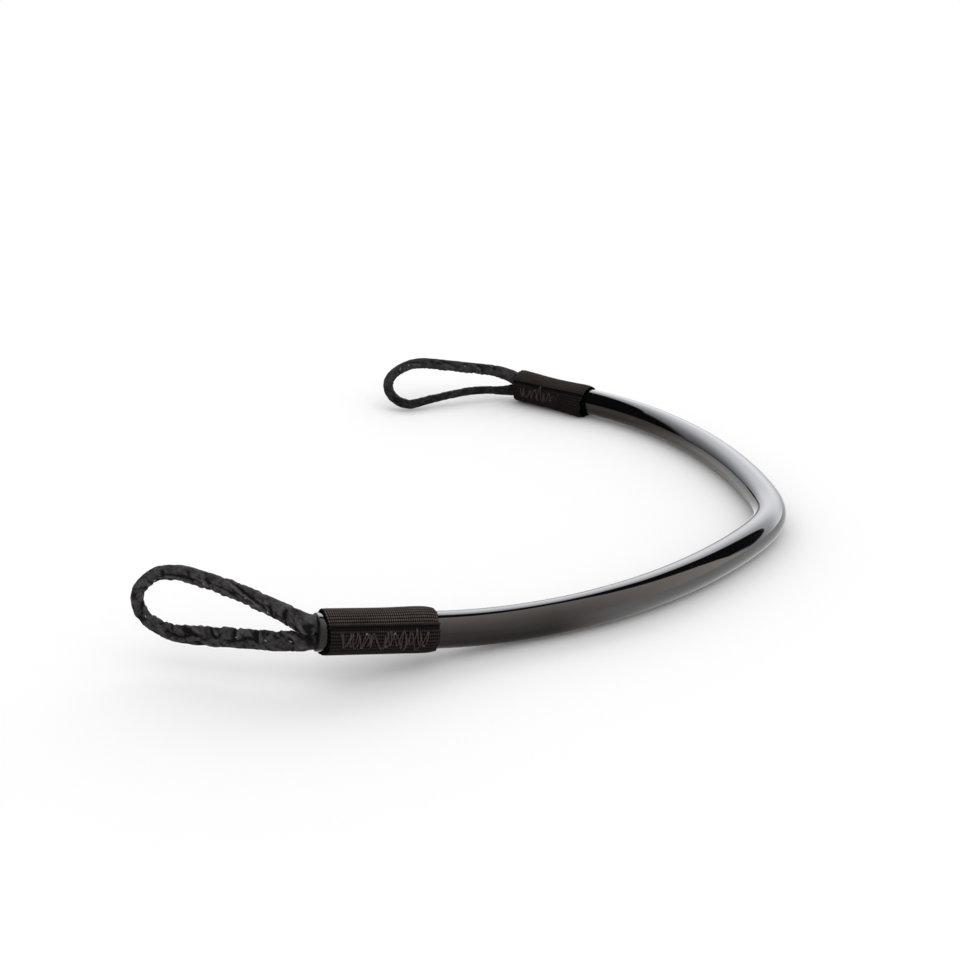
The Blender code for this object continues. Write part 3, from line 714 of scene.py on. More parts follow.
def new_piece(name, shells, along, around, material, ring=False, rise=None, sharp=50):
    """A mesh object of swept shells, each a grid of rows along its path by columns round its profile.

    The columns close round the profile. The rows close too where ring is true; else flat faces end them.
    The UV map holds along and around, the metres run at each row and column, as millimetres. Edges
    sharper than so many degrees are not smoothed.
    """
    count, rows, columns, _ = shells.shape
    first = np.arange(rows if ring else rows - 1)
    row = first[:, None, None] + np.array([0, 0, 1, 1])
    column = np.arange(columns)[None, :, None] + np.array([0, 1, 1, 0])
    row, column = np.broadcast_arrays(row, column)
    quads = ((row % rows) * columns + column % columns).reshape(-1, 4)
    starts = np.arange(count) * rows * columns
    faces = (quads[None] + starts[:, None, None]).reshape(-1, 4).tolist()
    uv = np.stack([along[row], around[column]], axis=-1).reshape(-1, 2) / MM
    uv = np.tile(uv, (count, 1))
    if not ring:
        circle = np.arange(columns)
        ends = [circle[::-1], (rows - 1) * columns + circle]
        faces += [(end + start).tolist() for start in starts for end in ends]
        uv = np.concatenate([uv, np.zeros((2 * count * columns, 2))])
    mesh = bpy.data.meshes.new(name)
    mesh.from_pydata(shells.reshape(-1, 3).tolist(), [], faces)
    mesh.uv_layers.new(name=UV_NAME).uv.foreach_set("vector", uv.astype(np.float32).ravel())
    if rise is not None:
        heights = mesh.attributes.new(RISE_NAME, "FLOAT", "POINT").data
        heights.foreach_set("value", rise.astype(np.float32).ravel())
    mesh.shade_smooth()
    mesh.set_sharp_from_angle(angle=math.radians(sharp))
    mesh.materials.append(material)
    piece = bpy.data.objects.new(name, mesh)
    bpy.context.scene.collection.objects.link(piece)
    return piece


def ride_on_bow(piece, node):
    """Let a piece ride on the bow in place of a node, which is hidden."""
    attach(piece, "bow")
    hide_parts(node)


def bend_at_mouth(piece, node):
    """Bake a piece's place into its mesh, and hide the node that it stands in for."""
    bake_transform(piece)
    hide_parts(node)


def full_circle(columns, start=0.0):
    """Even angles round a profile, and how far each lies round it as a share, with the closing one.

    The UV map is cut at the start.
    """
    return start + np.linspace(0, 2 * math.pi, columns, endpoint=False), np.linspace(0, 1, columns + 1)


def tube_rows(radius, bore):
    """Place and radius of each ring of the tube: along the skin, round one rim, back through the bore.

    The rims are quarter circles between the skin or the bore and the flat end.
    """
    even = np.linspace(-1, 1, TUBE_RINGS)
    reach = np.where(even < 0, tube_end(-1), tube_end(1)) - RIM_ROUNDING
    skin = reach * ((1 - CROWN_CROWDING) * even + CROWN_CROWDING * even**3)
    inside = np.linspace(tube_end(1) - RIM_ROUNDING, RIM_ROUNDING - tube_end(-1), BORE_RINGS)
    arc = np.linspace(0, math.pi / 2, RIM_STEPS)[1:]
    sine, cosine = np.sin(arc), np.cos(arc)
    short = RIM_ROUNDING * np.concatenate([1 - sine, [0.0], 1 - cosine[:-1]])
    outer = radius - RIM_ROUNDING * (1 - cosine)
    inner = bore + RIM_ROUNDING * np.concatenate([[1.0], 1 - sine[:-1]])
    rim = np.concatenate([outer, inner])
    places = np.concatenate([skin, tube_end(1) - short, inside, short[::-1] - tube_end(-1)])
    radii = np.concatenate([np.full(TUBE_RINGS, radius), rim, np.full(BORE_RINGS, bore), rim[::-1]])
    return places, radii


class HARNESS_OT_tube(Operator):
    """Sweep the gloss tube along the bow"""

    bl_idname = "harness.tube"
    bl_label = "Tube"

    def execute(self, context):
        look = context.scene.harness_line.tube
        radius = look.diameter / 2
        places, radii = tube_rows(radius, radius - look.wall)
        centres, along, outward = bow_at(places)
        angles, share = full_circle(TUBE_SIDES, math.pi / 2)
        ripples = [np.sin(2 * math.pi * places / length) for length in RIPPLE_LENGTHS]
        ripple = RIPPLE_DEPTH * np.sum(ripples, axis=0)[:, None] * np.cos(2 * angles)
        down = TUBE_FLATTENING * np.cross(along, outward)
        across = np.cos(angles)[:, None] * outward[:, None] + np.sin(angles)[:, None] * down[:, None]
        points = centres[:, None] + (radii[:, None] + ripple)[..., None] * across
        run = np.append(places, places[0])
        round_run = share * math.pi * look.diameter
        cut = np.repeat((np.arange(len(places)) > TUBE_RINGS)[:, None] * CUT_ROUGHNESS, TUBE_SIDES, axis=1)
        tube = new_piece("tube_skin", points[None], run, round_run, polyurethane(look), ring=True, rise=cut)
        ride_on_bow(tube, "tube")
        return {"FINISHED"}


def cuff_frame(side):
    """Middle of a cuff and its axes: towards the seam, up, and out of the tube's end."""
    points, along, outward = bow_at(np.array([side * (ARMS[side]["length"] + CUFF_LENGTH / 2)]))
    seam = -side * outward[0]
    out = side * along[0]
    return points[0], np.stack([seam, np.cross(out, seam), out])


def wrap_radius(angle):
    """Radius of the webbing's middle: level, then an S-shaped climb over its own inner edge."""
    climb = (angle - (WRAP_START + 2 * math.pi - WRAP_RAMP)) / WRAP_RAMP
    return WRAP_RADIUS + WRAP_LIFT * smooth_step(climb)


def press(along):
    """How far the heat-cut ends are pressed in: a quarter-ellipse towards each end of the cuff."""
    lost = np.zeros_like(along)
    for depth, reach, end in zip(END_PRESS, END_PRESS_REACH, (-1, 1)):
        inside = np.clip((end * along - (CUFF_LENGTH / 2 - reach)) / reach, 0, 1)
        lost = lost + depth * (1 - np.sqrt(1 - inside**2 * END_PRESS_ROUND))
    return lost


def slack_height(hand, along, angle):
    """How far the slack webbing stands off the tube: bells along the cuff, each on its own side."""
    height = np.zeros(np.broadcast(along, angle).shape)
    for place, reach, side, most in SLACK[hand]:
        facing = np.clip(np.cos(angle - math.radians(side)), 0, 1)
        height = height + most * bell((along - place) / reach) * facing
    return height


def webbing_grid(hand, look, random):
    """Points of a cuff in its own frame, with their rise, and the metres run along both ways.

    The profile is the webbing's flat section with round ends. It is carried along the wrap, where the
    radius is the wrap's plus the ribs (a rounded wave round the tube) and loops (a wave along them).
    Both free edges close in half-round, with a sewn groove beside the outer one, and each rib ends a
    little before or after its neighbour.
    """
    fine = np.linspace(WRAP_START, WRAP_END, SAMPLES)
    run = running_sum(wrap_radius(fine), fine[1] - fine[0])
    ribs = int(round(run[-1] / look.rib_spacing))
    way = np.linspace(0, run[-1], ribs * POINTS_PER_RIB + 1)
    angle = np.interp(way, run, fine)[:, None]
    half = look.thickness / 2
    flat = CUFF_LENGTH / 2 - half
    arc = np.linspace(0, math.pi, EDGE_STEPS + 2)[1:-1]
    face = np.linspace(1, -1, WEAVE_ROWS) * flat
    lining = np.linspace(-1, 1, LINING_STEPS) * flat
    inner_end = -flat - half * np.sin(arc)
    level = half * np.cos(arc)
    along = np.concatenate([face, inner_end, lining, -inner_end[::-1]])
    depth = np.concatenate([np.full(WEAVE_ROWS, half), level, np.full(LINING_STEPS, -half), -level])
    outer = smooth_step(depth / half)

    rib = np.abs(np.cos(math.pi * way / look.rib_spacing))[:, None] ** RIB_ROUNDNESS
    loops = 0.5 + 0.5 * np.cos(2 * math.pi * along / LOOP_PITCH)
    relief = rib * (LOOP_LEAST + (1 - LOOP_LEAST) * loops)
    to_edge = np.minimum(way, run[-1] - way) / half + EDGE_BLUNT
    nose = np.sqrt(1 - (1 - np.clip(to_edge, 0, 1)) ** 2)[:, None]
    sewn = bell((run[-1] - way - SELVEDGE) / SELVEDGE_WIDTH)[:, None]
    lift = RIB_DEPTH * (rib - RIB_MEAN) + LOOP_DEPTH * (relief - LOOP_MEAN) - SELVEDGE_GROOVE * sewn
    thick = nose * (depth + outer * (lift - press(along)))
    radius = wrap_radius(angle) + thick + slack_height(hand, along, angle)

    wander = np.interp(way / look.rib_spacing, np.arange(ribs + 2), random.uniform(-1, 1, ribs + 2))
    ragged = FRAY * (rib - FRAY_MEAN + FRAY_WANDER * wander[:, None])
    at_end = smooth_step((np.abs(along) - (CUFF_LENGTH / 2 - FRAY_REACH)) / FRAY_REACH)
    reach = along + at_end * np.sign(along) * ragged
    inner_more, outer_more = LONGER[hand]
    reach = reach - inner_more * (0.5 - reach / CUFF_LENGTH) + outer_more * (0.5 + reach / CUFF_LENGTH)
    pull = np.where(along > 0, *PULLED) * np.abs(2 * along / CUFF_LENGTH) ** PULL_POWER * np.sign(along)
    reach = reach - np.clip(np.cos(angle), 0, 1) ** 2 * pull
    local = np.stack([radius * np.cos(angle), radius * np.sin(angle), reach], axis=-1)

    # Tone of the webbing: its relief, with painted shade in the grooves, in the sewn groove and on the
    # rounded free edges
    relief = EVEN[hand] * relief.mean() + (1 - EVEN[hand]) * relief
    # painted shade over the cuff's lower side, round the zigzag
    lower_shade = (1 - LOWER_SIDE_SHADE[hand]) * smooth_step((angle - WRAP_END + LOWER_SHADE_ANGLE) / LOWER_SHADE_FADE)
    rise = np.where(outer > 0, relief * (1 - sewn) * nose**2 * (1 - lower_shade), LINING_RISE["cuff"])
    round_run = running_sum(np.ones(len(along) + 1), CUFF_LENGTH / WEAVE_ROWS)
    return local, rise, way, round_run


class HARNESS_OT_cuffs(Operator):
    """Wrap the ribbed webbing round each tube end"""

    bl_idname = "harness.cuffs"
    bl_label = "Cuffs"

    def execute(self, context):
        look = context.scene.harness_line.cuff
        material = elastic_webbing(look)
        random = np.random.default_rng(SEEDS["cuffs"])
        for hand, eye in EYES.items():
            local, rise, way, round_run = webbing_grid(hand, look, random)
            middle, axes = cuff_frame(eye["side"])
            points = middle + local @ axes
            points[..., 2] = np.maximum(points[..., 2], 0.0)
            name = f"{hand}_cuff_webbing"
            cuff = new_piece(name, points[None], way, round_run, material, rise=rise, sharp=75)
            ride_on_bow(cuff, f"{hand}_cuff")
        return {"FINISHED"}


def zigzag_path(look, shift, random):
    """One pass of the zigzag in the cuff's frame: strokes between wandering needle holes.

    Each stroke is a line on the unrolled webbing, bowed a little along it and sunk in at both holes.
    """
    holes = np.arange(ZIGZAG_STROKES + 1)
    hole_angle = np.where(holes % 2 == 0, ZIGZAG_HIGH, ZIGZAG_LOW) + random.normal(0, ZIGZAG_SWAY, len(holes))
    hole_along = ZIGZAG_LENGTH * (holes / ZIGZAG_STROKES - 0.5) + shift
    hole_along = hole_along + random.normal(0, ZIGZAG_WANDER, len(holes))
    step = np.linspace(0, ZIGZAG_STROKES, ZIGZAG_STROKES * ZIGZAG_STEPS + 1)
    eased = step + ZIGZAG_EASE * np.sin(2 * math.pi * (step % 1.0))
    angle = np.interp(eased, holes, hole_angle)
    bowed = ZIGZAG_WANDER * np.sin(math.pi * (step % 1.0)) * np.sin(ZIGZAG_BEAT * np.floor(step))
    along = np.interp(eased, holes, hole_along) + bowed
    surface = wrap_radius(angle + 2 * math.pi) + look.thickness / 2
    sunk = STITCH_SINK * bell((step - np.round(step)) / SINK_REACH)
    radius = surface + look.thread_diameter * THREAD_LIFT - sunk
    return np.stack([radius * np.cos(angle), radius * np.sin(angle), along], axis=1)


class HARNESS_OT_zigzags(Operator):
    """Sew the zigzag over each cuff's overlap, twice"""

    bl_idname = "harness.zigzags"
    bl_label = "Zigzags"

    def execute(self, context):
        look = context.scene.harness_line.cuff
        material = twisted_thread("bonded_thread", look.thread, look.glint, PLY["zigzag"])
        random = np.random.default_rng(SEEDS["zigzags"])
        angles, share = full_circle(THREAD_SIDES)
        round_run = share * math.pi * look.thread_diameter
        # painted highlight along the thread's outer side
        crest = THREAD_CREST * np.clip(np.cos(angles), 0, 1) ** CREST_POWER
        for hand, eye in EYES.items():
            passes = np.stack([zigzag_path(look, shift, random) for shift in (0.0, ZIGZAG_SHIFT)])
            middle, axes = cuff_frame(eye["side"])
            radial = unit(passes * LEVEL)
            rings = swept(middle + passes @ axes, radial @ axes, angles, look.thread_diameter / 2)
            stroke = np.linspace(0, ZIGZAG_STROKES, rings.shape[1])
            glints = random.choice(ZIGZAG_STROKES, (2, GLINTS, 1), replace=False)
            lit = bell((stroke - glints) / GLINT_REACH).max(axis=1)
            rise = np.maximum(lit[..., None], crest)
            run = np.arange(rings.shape[1]) * THREAD_STEP
            thread = new_piece(f"{hand}_cuff_stitches", rings, run, round_run, material, rise=rise)
            ride_on_bow(thread, f"{hand}_cuff_zigzag")
        return {"FINISHED"}


class EyeForm:
    """An eye's middle line with its normals, and its sheath's surface, ready to be read at any share."""

    def __init__(self, eye, random, fold_depth):
        side = eye["side"]
        self.mouth, along, outward = (values[0] for values in bow_at(np.array([side * tube_end(side)])))
        self.out = unit(side * along * LEVEL)
        self.pivot = self.mouth + PIVOT_OUT * self.out
        reach = math.cos(eye["yaw"]) * self.out - math.sin(eye["yaw"]) * outward
        self.axes = np.stack([reach, np.cross(UP, reach), UP])
        route = self.pivot + (np.array(eye["route"]) * np.array([1, side, 1])) @ self.axes
        deep = self.mouth - INTO_MOUTH * side * along
        offsets = zip(LEG_IN_BORE, LEG_AT_MOUTH)
        entry, back = ([deep + bore * UP, self.mouth + mouth * UP] for bore, mouth in offsets)
        self.path, self.length = smooth_route(np.concatenate([entry, route, back[::-1]]), FINE_POINTS)
        spokes = self.path - self.path.mean(axis=0)
        face = unit(np.cross(spokes[:-1], spokes[1:]).sum(axis=0))
        self.face = face if face[1] < 0 else -face
        self.front, self.inside = normals_along(self.path, self.face)
        self.lead = (INTO_MOUTH + PIVOT_OUT) / self.length
        self.girth = np.array(eye["girth"])
        folds = [random.uniform(low, high, BACK_FOLDS) for low, high in BACK_FOLD_RANGES]
        self.folds = np.concatenate([np.array(eye["folds"]), np.stack(folds, axis=1)])
        self.fold_depth = fold_depth * eye["creased"]
        self.crease_depth = CREASE_DEPTH * eye["creased"]
        self.pale_cloth = eye["pale_cloth"]
        self.lumps = random.uniform(0, 2 * math.pi, (LUMPS, 2))
        turns = random.integers(-WRINKLE_TURNS, WRINKLE_TURNS + 1, (WRINKLES, 2))
        spacing = random.uniform(*WRINKLE_SPACING, (WRINKLES, 2)) * np.array([1.0, WRINKLE_BREAK])
        self.wrinkles = np.stack([turns, spacing, random.uniform(0, 2 * math.pi, (WRINKLES, 2))], axis=1)
        flat = (self.path - self.pivot) @ self.axes.T
        tip = int(np.argmax(flat[:, 0]))
        self.tip_share = tip / (FINE_POINTS - 1)
        self.between = np.linspace(-INTO_MOUTH - PIVOT_OUT, LEG_CONTACT, LEG_SAMPLES)
        lower, upper = (np.interp(self.between, leg[:, 0], leg[:, 2]) for leg in (flat[:tip], flat[:tip:-1]))
        self.middle = (lower + upper) / 2

    def at(self, share, values):
        """Values on the fine middle line, read at shares of it."""
        return read_at(share, np.linspace(0, 1, len(values)), values)

    def of_route(self, share):
        """Shares of the route outside the pivot, from shares of the whole line."""
        return (share - self.lead) / (1 - 2 * self.lead)

    def size(self, share):
        """Width, flap and flap angle at shares of the whole line, read between the given ones."""
        of_route = self.of_route(share)
        return (np.interp(of_route, self.girth[:, 0], self.girth[:, column]) for column in (1, 2, 3))

    def line(self, share):
        """Middle of the rope inside the sheath, which the flap pushes to the outside of the eye."""
        _, flap, _ = self.size(share)
        return self.at(share, self.path) - (flap / 2 * MM)[..., None] * unit(self.at(share, self.inside))

    def ring(self, share, angle):
        """Directions out of the line: cosine of the angle to the front and sine to the inside."""
        front, inside = (unit(self.at(share, values)) for values in (self.front, self.inside))
        return np.cos(angle)[..., None] * front + np.sin(angle)[..., None] * inside

    def relief(self, share, angle, radius):
        """Folds: grooves with a ridge beside them, each a bell across its own slanting line.

        Wrinkles are sharp lines where a slanting wave passes zero, kept where a slower wave is positive.
        Lumps are the products of a wave along the sheath and one round it.
        """
        whole = self.length * (1 - 2 * self.lead) / MM
        of_route = self.of_route(share)
        height = np.zeros(np.broadcast(share, angle).shape)
        for place, at, turn, length, width, depth in self.folds:
            x = (of_route - place) * whole
            y = turned_from(angle, math.radians(at)) * radius / MM
            cosine, sine = math.cos(math.radians(turn)), math.sin(math.radians(turn))
            down = x * cosine + y * sine
            across = (y * cosine - x * sine) / width
            kept = bell((2 * down / length) ** 2)
            height = height - depth * kept * (bell(across) - RIDGE[0] * bell(across - RIDGE[1]))
        far = of_route * whole
        for (turns, broken), (spacing, stretch), (first, second) in self.wrinkles:
            crease = np.abs(np.sin(turns * angle + math.pi * far / spacing + first))
            kept = np.clip(np.sin(broken * angle + 2 * math.pi * far / stretch + second), 0, 1)
            height = height - WRINKLE_DEPTH * kept * np.exp(-crease / WRINKLE_WIDTH)
        for number, (first, second) in enumerate(self.lumps):
            along = np.sin(2 * math.pi * (2 + number) * LUMP_BEAT * share + first)
            height = height + LUMP_HEIGHT * along * np.sin((number % 3 + 1) * angle + second)
        return self.fold_depth * height * MM

    def surface(self, share, angle):
        """Points on the sheath, and their tone: each leg's paleness, darker with painted shade in the folds
        and creases.

        The section is a circle with a rounded bump, the seam allowance, on the inside of the eye, and a
        wandering, broken crease each side of it. Scallops from the stitches run along the bump, and folds
        cross it all.
        """
        width, flap, flap_at = self.size(share)
        radius = (width - flap) / 2 * MM
        away = turned_from(angle, np.radians(flap_at))
        bump = np.cos(np.clip(away / (FLAP_WIDTH * 2), -0.5, 0.5) * math.pi) ** FLAP_POWER
        beat = share * self.length / SCALLOP_PITCH
        scallop = 1 + waves(SCALLOPS, beat)
        crease_at = CREASE_ANGLE * (1 + waves(CREASE_WANDER, beat))
        broken = np.clip(CREASE_KEPT + waves(CREASE_BREAKS, beat), 0, 1)
        crease = bell((np.abs(away) - crease_at) / CREASE_WIDTH) * broken * np.clip(flap, 0, 1)
        folds = self.relief(share, angle, radius + FOLD_LIFT)
        start, reach = MOUTH_FADE
        fade = smooth_step((np.minimum(share, 1 - share) / self.lead - start) / reach)
        relief = fade * (folds - self.crease_depth * crease)
        out = radius + flap * MM * bump * scallop + relief
        points = self.line(share) + out[..., None] * self.ring(share, angle)
        # each leg's paleness, with painted shade where the relief sinks into folds and creases
        lower, upper = self.pale_cloth
        pale_cloth = lower + (upper - lower) * smooth_step((share - self.tip_share) / PALENESS_FADE + 0.5)
        return self.pressed(points, share), np.clip(pale_cloth + relief / FOLD_SHADE_DEPTH, 0, 1)

    def pressed(self, points, share):
        """Points with the two legs kept apart: near the mouth each stops at the middle between them."""
        local = (points - self.pivot) @ self.axes.T
        middle = np.interp(local[..., 0], self.between, self.middle)
        lower = np.minimum(local[..., 2], middle - CONTACT_GAP)
        upper = np.maximum(local[..., 2], middle + CONTACT_GAP)
        height = np.where(share < self.tip_share, lower, upper)
        local[..., 2] = np.where(local[..., 0] < LEG_CONTACT, height, local[..., 2])
        return self.pivot + local @ self.axes


def eye_forms(context):
    """The forms of both eyes, always drawn from the same random folds."""
    random = np.random.default_rng(SEEDS["eyes"])
    depth = context.scene.harness_line.eye.fold_depth
    return {hand: EyeForm(eye, random, depth) for hand, eye in EYES.items()}


class HARNESS_OT_sheaths(Operator):
    """Sew the fabric sheath of each eye"""

    bl_idname = "harness.sheaths"
    bl_label = "Sheaths"

    def execute(self, context):
        material = sheath_cloth(context.scene.harness_line.eye)
        angles, share_round = full_circle(SHEATH_SIDES, 1.5 * math.pi)
        round_run = share_round * SHEATH_GIRTH
        skin = np.meshgrid(np.linspace(0, 1, SHEATH_ROWS), angles, indexing="ij")
        lining = np.meshgrid(np.linspace(1, 0, LINING_ROWS), angles, indexing="ij")
        shares = np.concatenate([skin[0][:, 0], lining[0][:, 0], [0.0]])
        for hand, form in eye_forms(context).items():
            outer, rise = form.surface(*skin)
            inner = form.line(lining[0]) + LINING_RADIUS * form.ring(*lining)
            points = np.concatenate([outer, inner])
            points[..., 2] = np.maximum(points[..., 2], 0.0)
            rise = np.concatenate([rise, np.full(lining[0].shape, LINING_RISE["sheath"])])
            run = shares * form.length
            name = f"{hand}_eye_cloth"
            sheath = new_piece(name, points[None], run, round_run, material, ring=True, rise=rise, sharp=80)
            bend_at_mouth(sheath, f"{hand}_eye_sheath")
        return {"FINISHED"}


class HARNESS_OT_seams(Operator):
    """Stitch the seam along the inside of each eye"""

    bl_idname = "harness.seams"
    bl_label = "Seams"

    def execute(self, context):
        look = context.scene.harness_line.eye
        material = twisted_thread("seam_thread", look.thread, look.glint, PLY["seam"])
        angles, share_round = full_circle(SEAM_SIDES)
        round_run = share_round * math.pi * look.seam_diameter
        random = np.random.default_rng(SEEDS["seams"])
        step = np.linspace(-1, 1, SEAM_STEPS)
        run = (step + 1) / 2 * SEAM_STITCH
        arch = look.seam_diameter * (SEAM_ARCH[0] - SEAM_ARCH[1] * step**2)[:, None]
        for hand, form in eye_forms(context).items():
            count = int(SEAM_SHARE * form.length / SEAM_PITCH)
            middles = np.linspace(*SEAM_SPAN, count) + random.normal(0, SEAM_WANDER, count)
            share = middles[:, None] + step * SEAM_STITCH / 2 / form.length
            _, _, flap_at = form.size(share)
            sway = random.normal(0, SEAM_SWAY, (count, 1))
            side = np.radians(flap_at) - CREASE_ANGLE * (SEAM_SIDE + sway)
            surface, _ = form.surface(share, side + SEAM_SLANT * step)
            off = unit(surface - form.line(share))
            rings = swept(surface + off * arch, off, angles, look.seam_diameter / 2)
            lit = (random.uniform(0, 1, count) < SEAM_LIT)[:, None] * bell(step / SEAM_GLINT)
            rise = np.repeat(lit[..., None], SEAM_SIDES, axis=2)
            seam = new_piece(f"{hand}_eye_stitches", rings, run, round_run, material, rise=rise)
            bend_at_mouth(seam, f"{hand}_sheath_seam")
        return {"FINISHED"}


def braid(run, angles, diameter):
    """Radius of a braid and its rise: two sets of strands, wound both ways, of which the higher one shows."""
    way = 2 * math.pi * run[:, None] / BRAID_PITCH
    one, two = (np.cos(BRAID_STRANDS / 2 * (angles + sense * way)) for sense in (1, -1))
    over = 0.5 + 0.5 * np.maximum(one, two)
    return diameter / 2 * (1 + BRAID_DEPTH * (over - 1)), over


def rope_piece(name, path, facing, length, look, material):
    """A braided rope along a path."""
    angles, share = full_circle(ROPE_SIDES)
    run = np.linspace(0, length, len(path))
    radius, rise = braid(run, angles, look.diameter)
    rings = swept(path, facing, angles, radius)
    return new_piece(name, rings[None], run, share * math.pi * look.diameter, material, rise=rise[None])


class HARNESS_OT_ropes(Operator):
    """Lay the rope in the tube, with its tails and the rope of each eye"""

    bl_idname = "harness.ropes"
    bl_label = "Ropes"

    def execute(self, context):
        look = context.scene.harness_line.rope
        material = braided_rope(look)
        whole = tube_end(-1) + tube_end(1)
        places = np.linspace(-tube_end(-1), tube_end(1), int(whole / ROPE_SPACING))
        depth = np.minimum(places + tube_end(-1), tube_end(1) - places)
        bends = [0.0, BIND_START, TAIL_LENGTH + BIND_START, CORE_CENTRED]
        offsets = np.interp(depth, bends, [MOUTH_OFFSET, BOUND_OFFSET, BOUND_OFFSET, 0.0])
        path = bow_at(places)[0] + offsets[:, None] * UP
        ride_on_bow(rope_piece("core_braid", path, UP, whole, look, material), "core_rope")
        depth = np.linspace(0.0, TAIL_LENGTH, int(TAIL_LENGTH / ROPE_SPACING))
        offsets = np.interp(depth, [0.0, BIND_START], [-MOUTH_OFFSET, -BOUND_OFFSET])
        for hand, eye in EYES.items():
            side = eye["side"]
            path = bow_at(side * (tube_end(side) - depth))[0] + offsets[:, None] * UP
            tail = rope_piece(f"{hand}_tail_braid", path, UP, TAIL_LENGTH, look, material)
            ride_on_bow(tail, f"{hand}_rope_tail")
        for hand, form in eye_forms(context).items():
            lead = INTO_MOUTH / form.length
            path = form.line(np.linspace(lead, 1 - lead, int(form.length / ROPE_SPACING)))
            length = form.length - 2 * INTO_MOUTH
            rope = rope_piece(f"{hand}_eye_braid", path, form.face, length, look, material)
            bend_at_mouth(rope, f"{hand}_eye_rope")
        return {"FINISHED"}


class HARNESS_OT_seizings(Operator):
    """Bind each tail to the core with twine"""

    bl_idname = "harness.seizings"
    bl_label = "Seizings"

    def execute(self, context):
        look = context.scene.harness_line.rope
        material = twisted_thread("seizing_twine", look.twine, look.twine, PLY["twine"])
        angles, share = full_circle(THREAD_SIDES)
        round_run = share * math.pi * TWINE_DIAMETER
        turn = np.linspace(0, 2 * math.pi * SEIZING_TURNS, SEIZING_TURNS * SEIZING_POINTS)
        depth = SEIZING_START + SEIZING_PITCH * turn / (2 * math.pi)
        radius = look.diameter / 2 + TWINE_GAP + TWINE_DIAMETER / 2
        upright = BOUND_OFFSET * np.tanh(SEIZING_CORNER * np.cos(turn)) + radius * np.cos(turn)
        run = running_sum(np.full(len(turn), radius), turn[1])
        for hand, eye in EYES.items():
            side = eye["side"]
            middle, along, outward = bow_at(side * (tube_end(side) - depth))
            path = middle + outward * (radius * np.sin(turn))[:, None] + upright[:, None] * UP
            rings = swept(path, along, angles, TWINE_DIAMETER / 2)
            twine = new_piece(f"{hand}_twine", rings[None], run, round_run, material)
            ride_on_bow(twine, f"{hand}_seizing")
        return {"FINISHED"}


class HARNESS_OT_cords(Operator):
    """Read the middle line of each eye; nothing is made from it"""

    bl_idname = "harness.cords"
    bl_label = "Cords"

    def execute(self, context):
        for hand, form in eye_forms(context).items():
            path = form.line(np.linspace(0, 1, CORD_POINTS))
        return {"FINISHED"}


def aimed(place, forward, right):
    """Matrix of a camera at a place, looking forward with its own right."""
    forward, right = unit(np.array(forward)), unit(np.array(right))
    turned = np.eye(4)
    turned[:3, :3] = np.stack([right, np.cross(right, forward), -forward], axis=1)
    turned[:3, 3] = place
    return Matrix(turned.tolist())


def studio_floor(colour, warm):
    """Painted floor: matt and pale, with the object's shadow near it, and plain white further off.

    Gloss mirrors it as light: white from the back and the right, and dim and warm from the front. Where
    the floor is close to the gloss it is dimmer, because the object shades it there.
    """
    material = bpy.data.materials.new("painted_floor")
    tree = empty_tree(material)
    place = add(tree, "TexCoord", out="Object")
    grain = add(tree, "TexNoise", {"Vector": place, "Scale": 1 / FLOOR_GRAIN, "Detail": 2}, "Fac")
    bump = add(tree, "Bump", {"Height": grain, "Strength": 0.05, "Distance": 0.02 * MM})
    finish = {"Base Color": (*colour, 1), "Roughness": 0.9, "Normal": bump, "Specular IOR Level": 0.1}
    paint = add(tree, "BsdfPrincipled", finish)
    path = add(tree, "LightPath", out=None)
    glossy = path["Is Glossy Ray"]
    away = add(tree, "VectorMath", (place,), "Value", operation="LENGTH")
    far = add(tree, "MapRange", (away, *FLOOR_WHITE), **EASED)
    seen = add(tree, "Math", (path["Is Camera Ray"], path["Is Transmission Ray"]), operation="MAXIMUM")
    plain = add(tree, "Math", (far, seen), operation="MULTIPLY")
    share = add(tree, "Math", (plain, glossy), operation="MAXIMUM")
    incoming = add(tree, "NewGeometry", out="Incoming")
    from_back = add(tree, "SeparateXYZ", (incoming,), "Y")
    from_right = add(tree, "VectorMath", (incoming, GLOSS_RIGHT), "Value", operation="DOT_PRODUCT")
    clear = add(tree, "MapRange", (path["Ray Length"], *GLOSS_CLEAR))
    front = add(tree, "MapRange", (clear, *GLOSS_FRONT))
    back = add(tree, "MapRange", (from_back, *GLOSS_BACK, clear), **EASED)
    right = add(tree, "MapRange", (from_right, *GLOSS_SIDE), **EASED)
    white = add(tree, "Math", (back, right), operation="MAXIMUM")
    white = add(tree, "Mix", {0: glossy, 2: 1.0, 3: white})
    level = add(tree, "Mix", {0: white, 2: front, 3: 1.0})
    tint = add(tree, "Mix", {0: white, 6: (*warm, 1), 7: WHITE}, 2, data_type="RGBA")
    light = add(tree, "Emission", {"Color": tint, "Strength": level})
    add(tree, "OutputMaterial", {"Surface": add(tree, "MixShader", (share, paint, light))}, None)
    return material


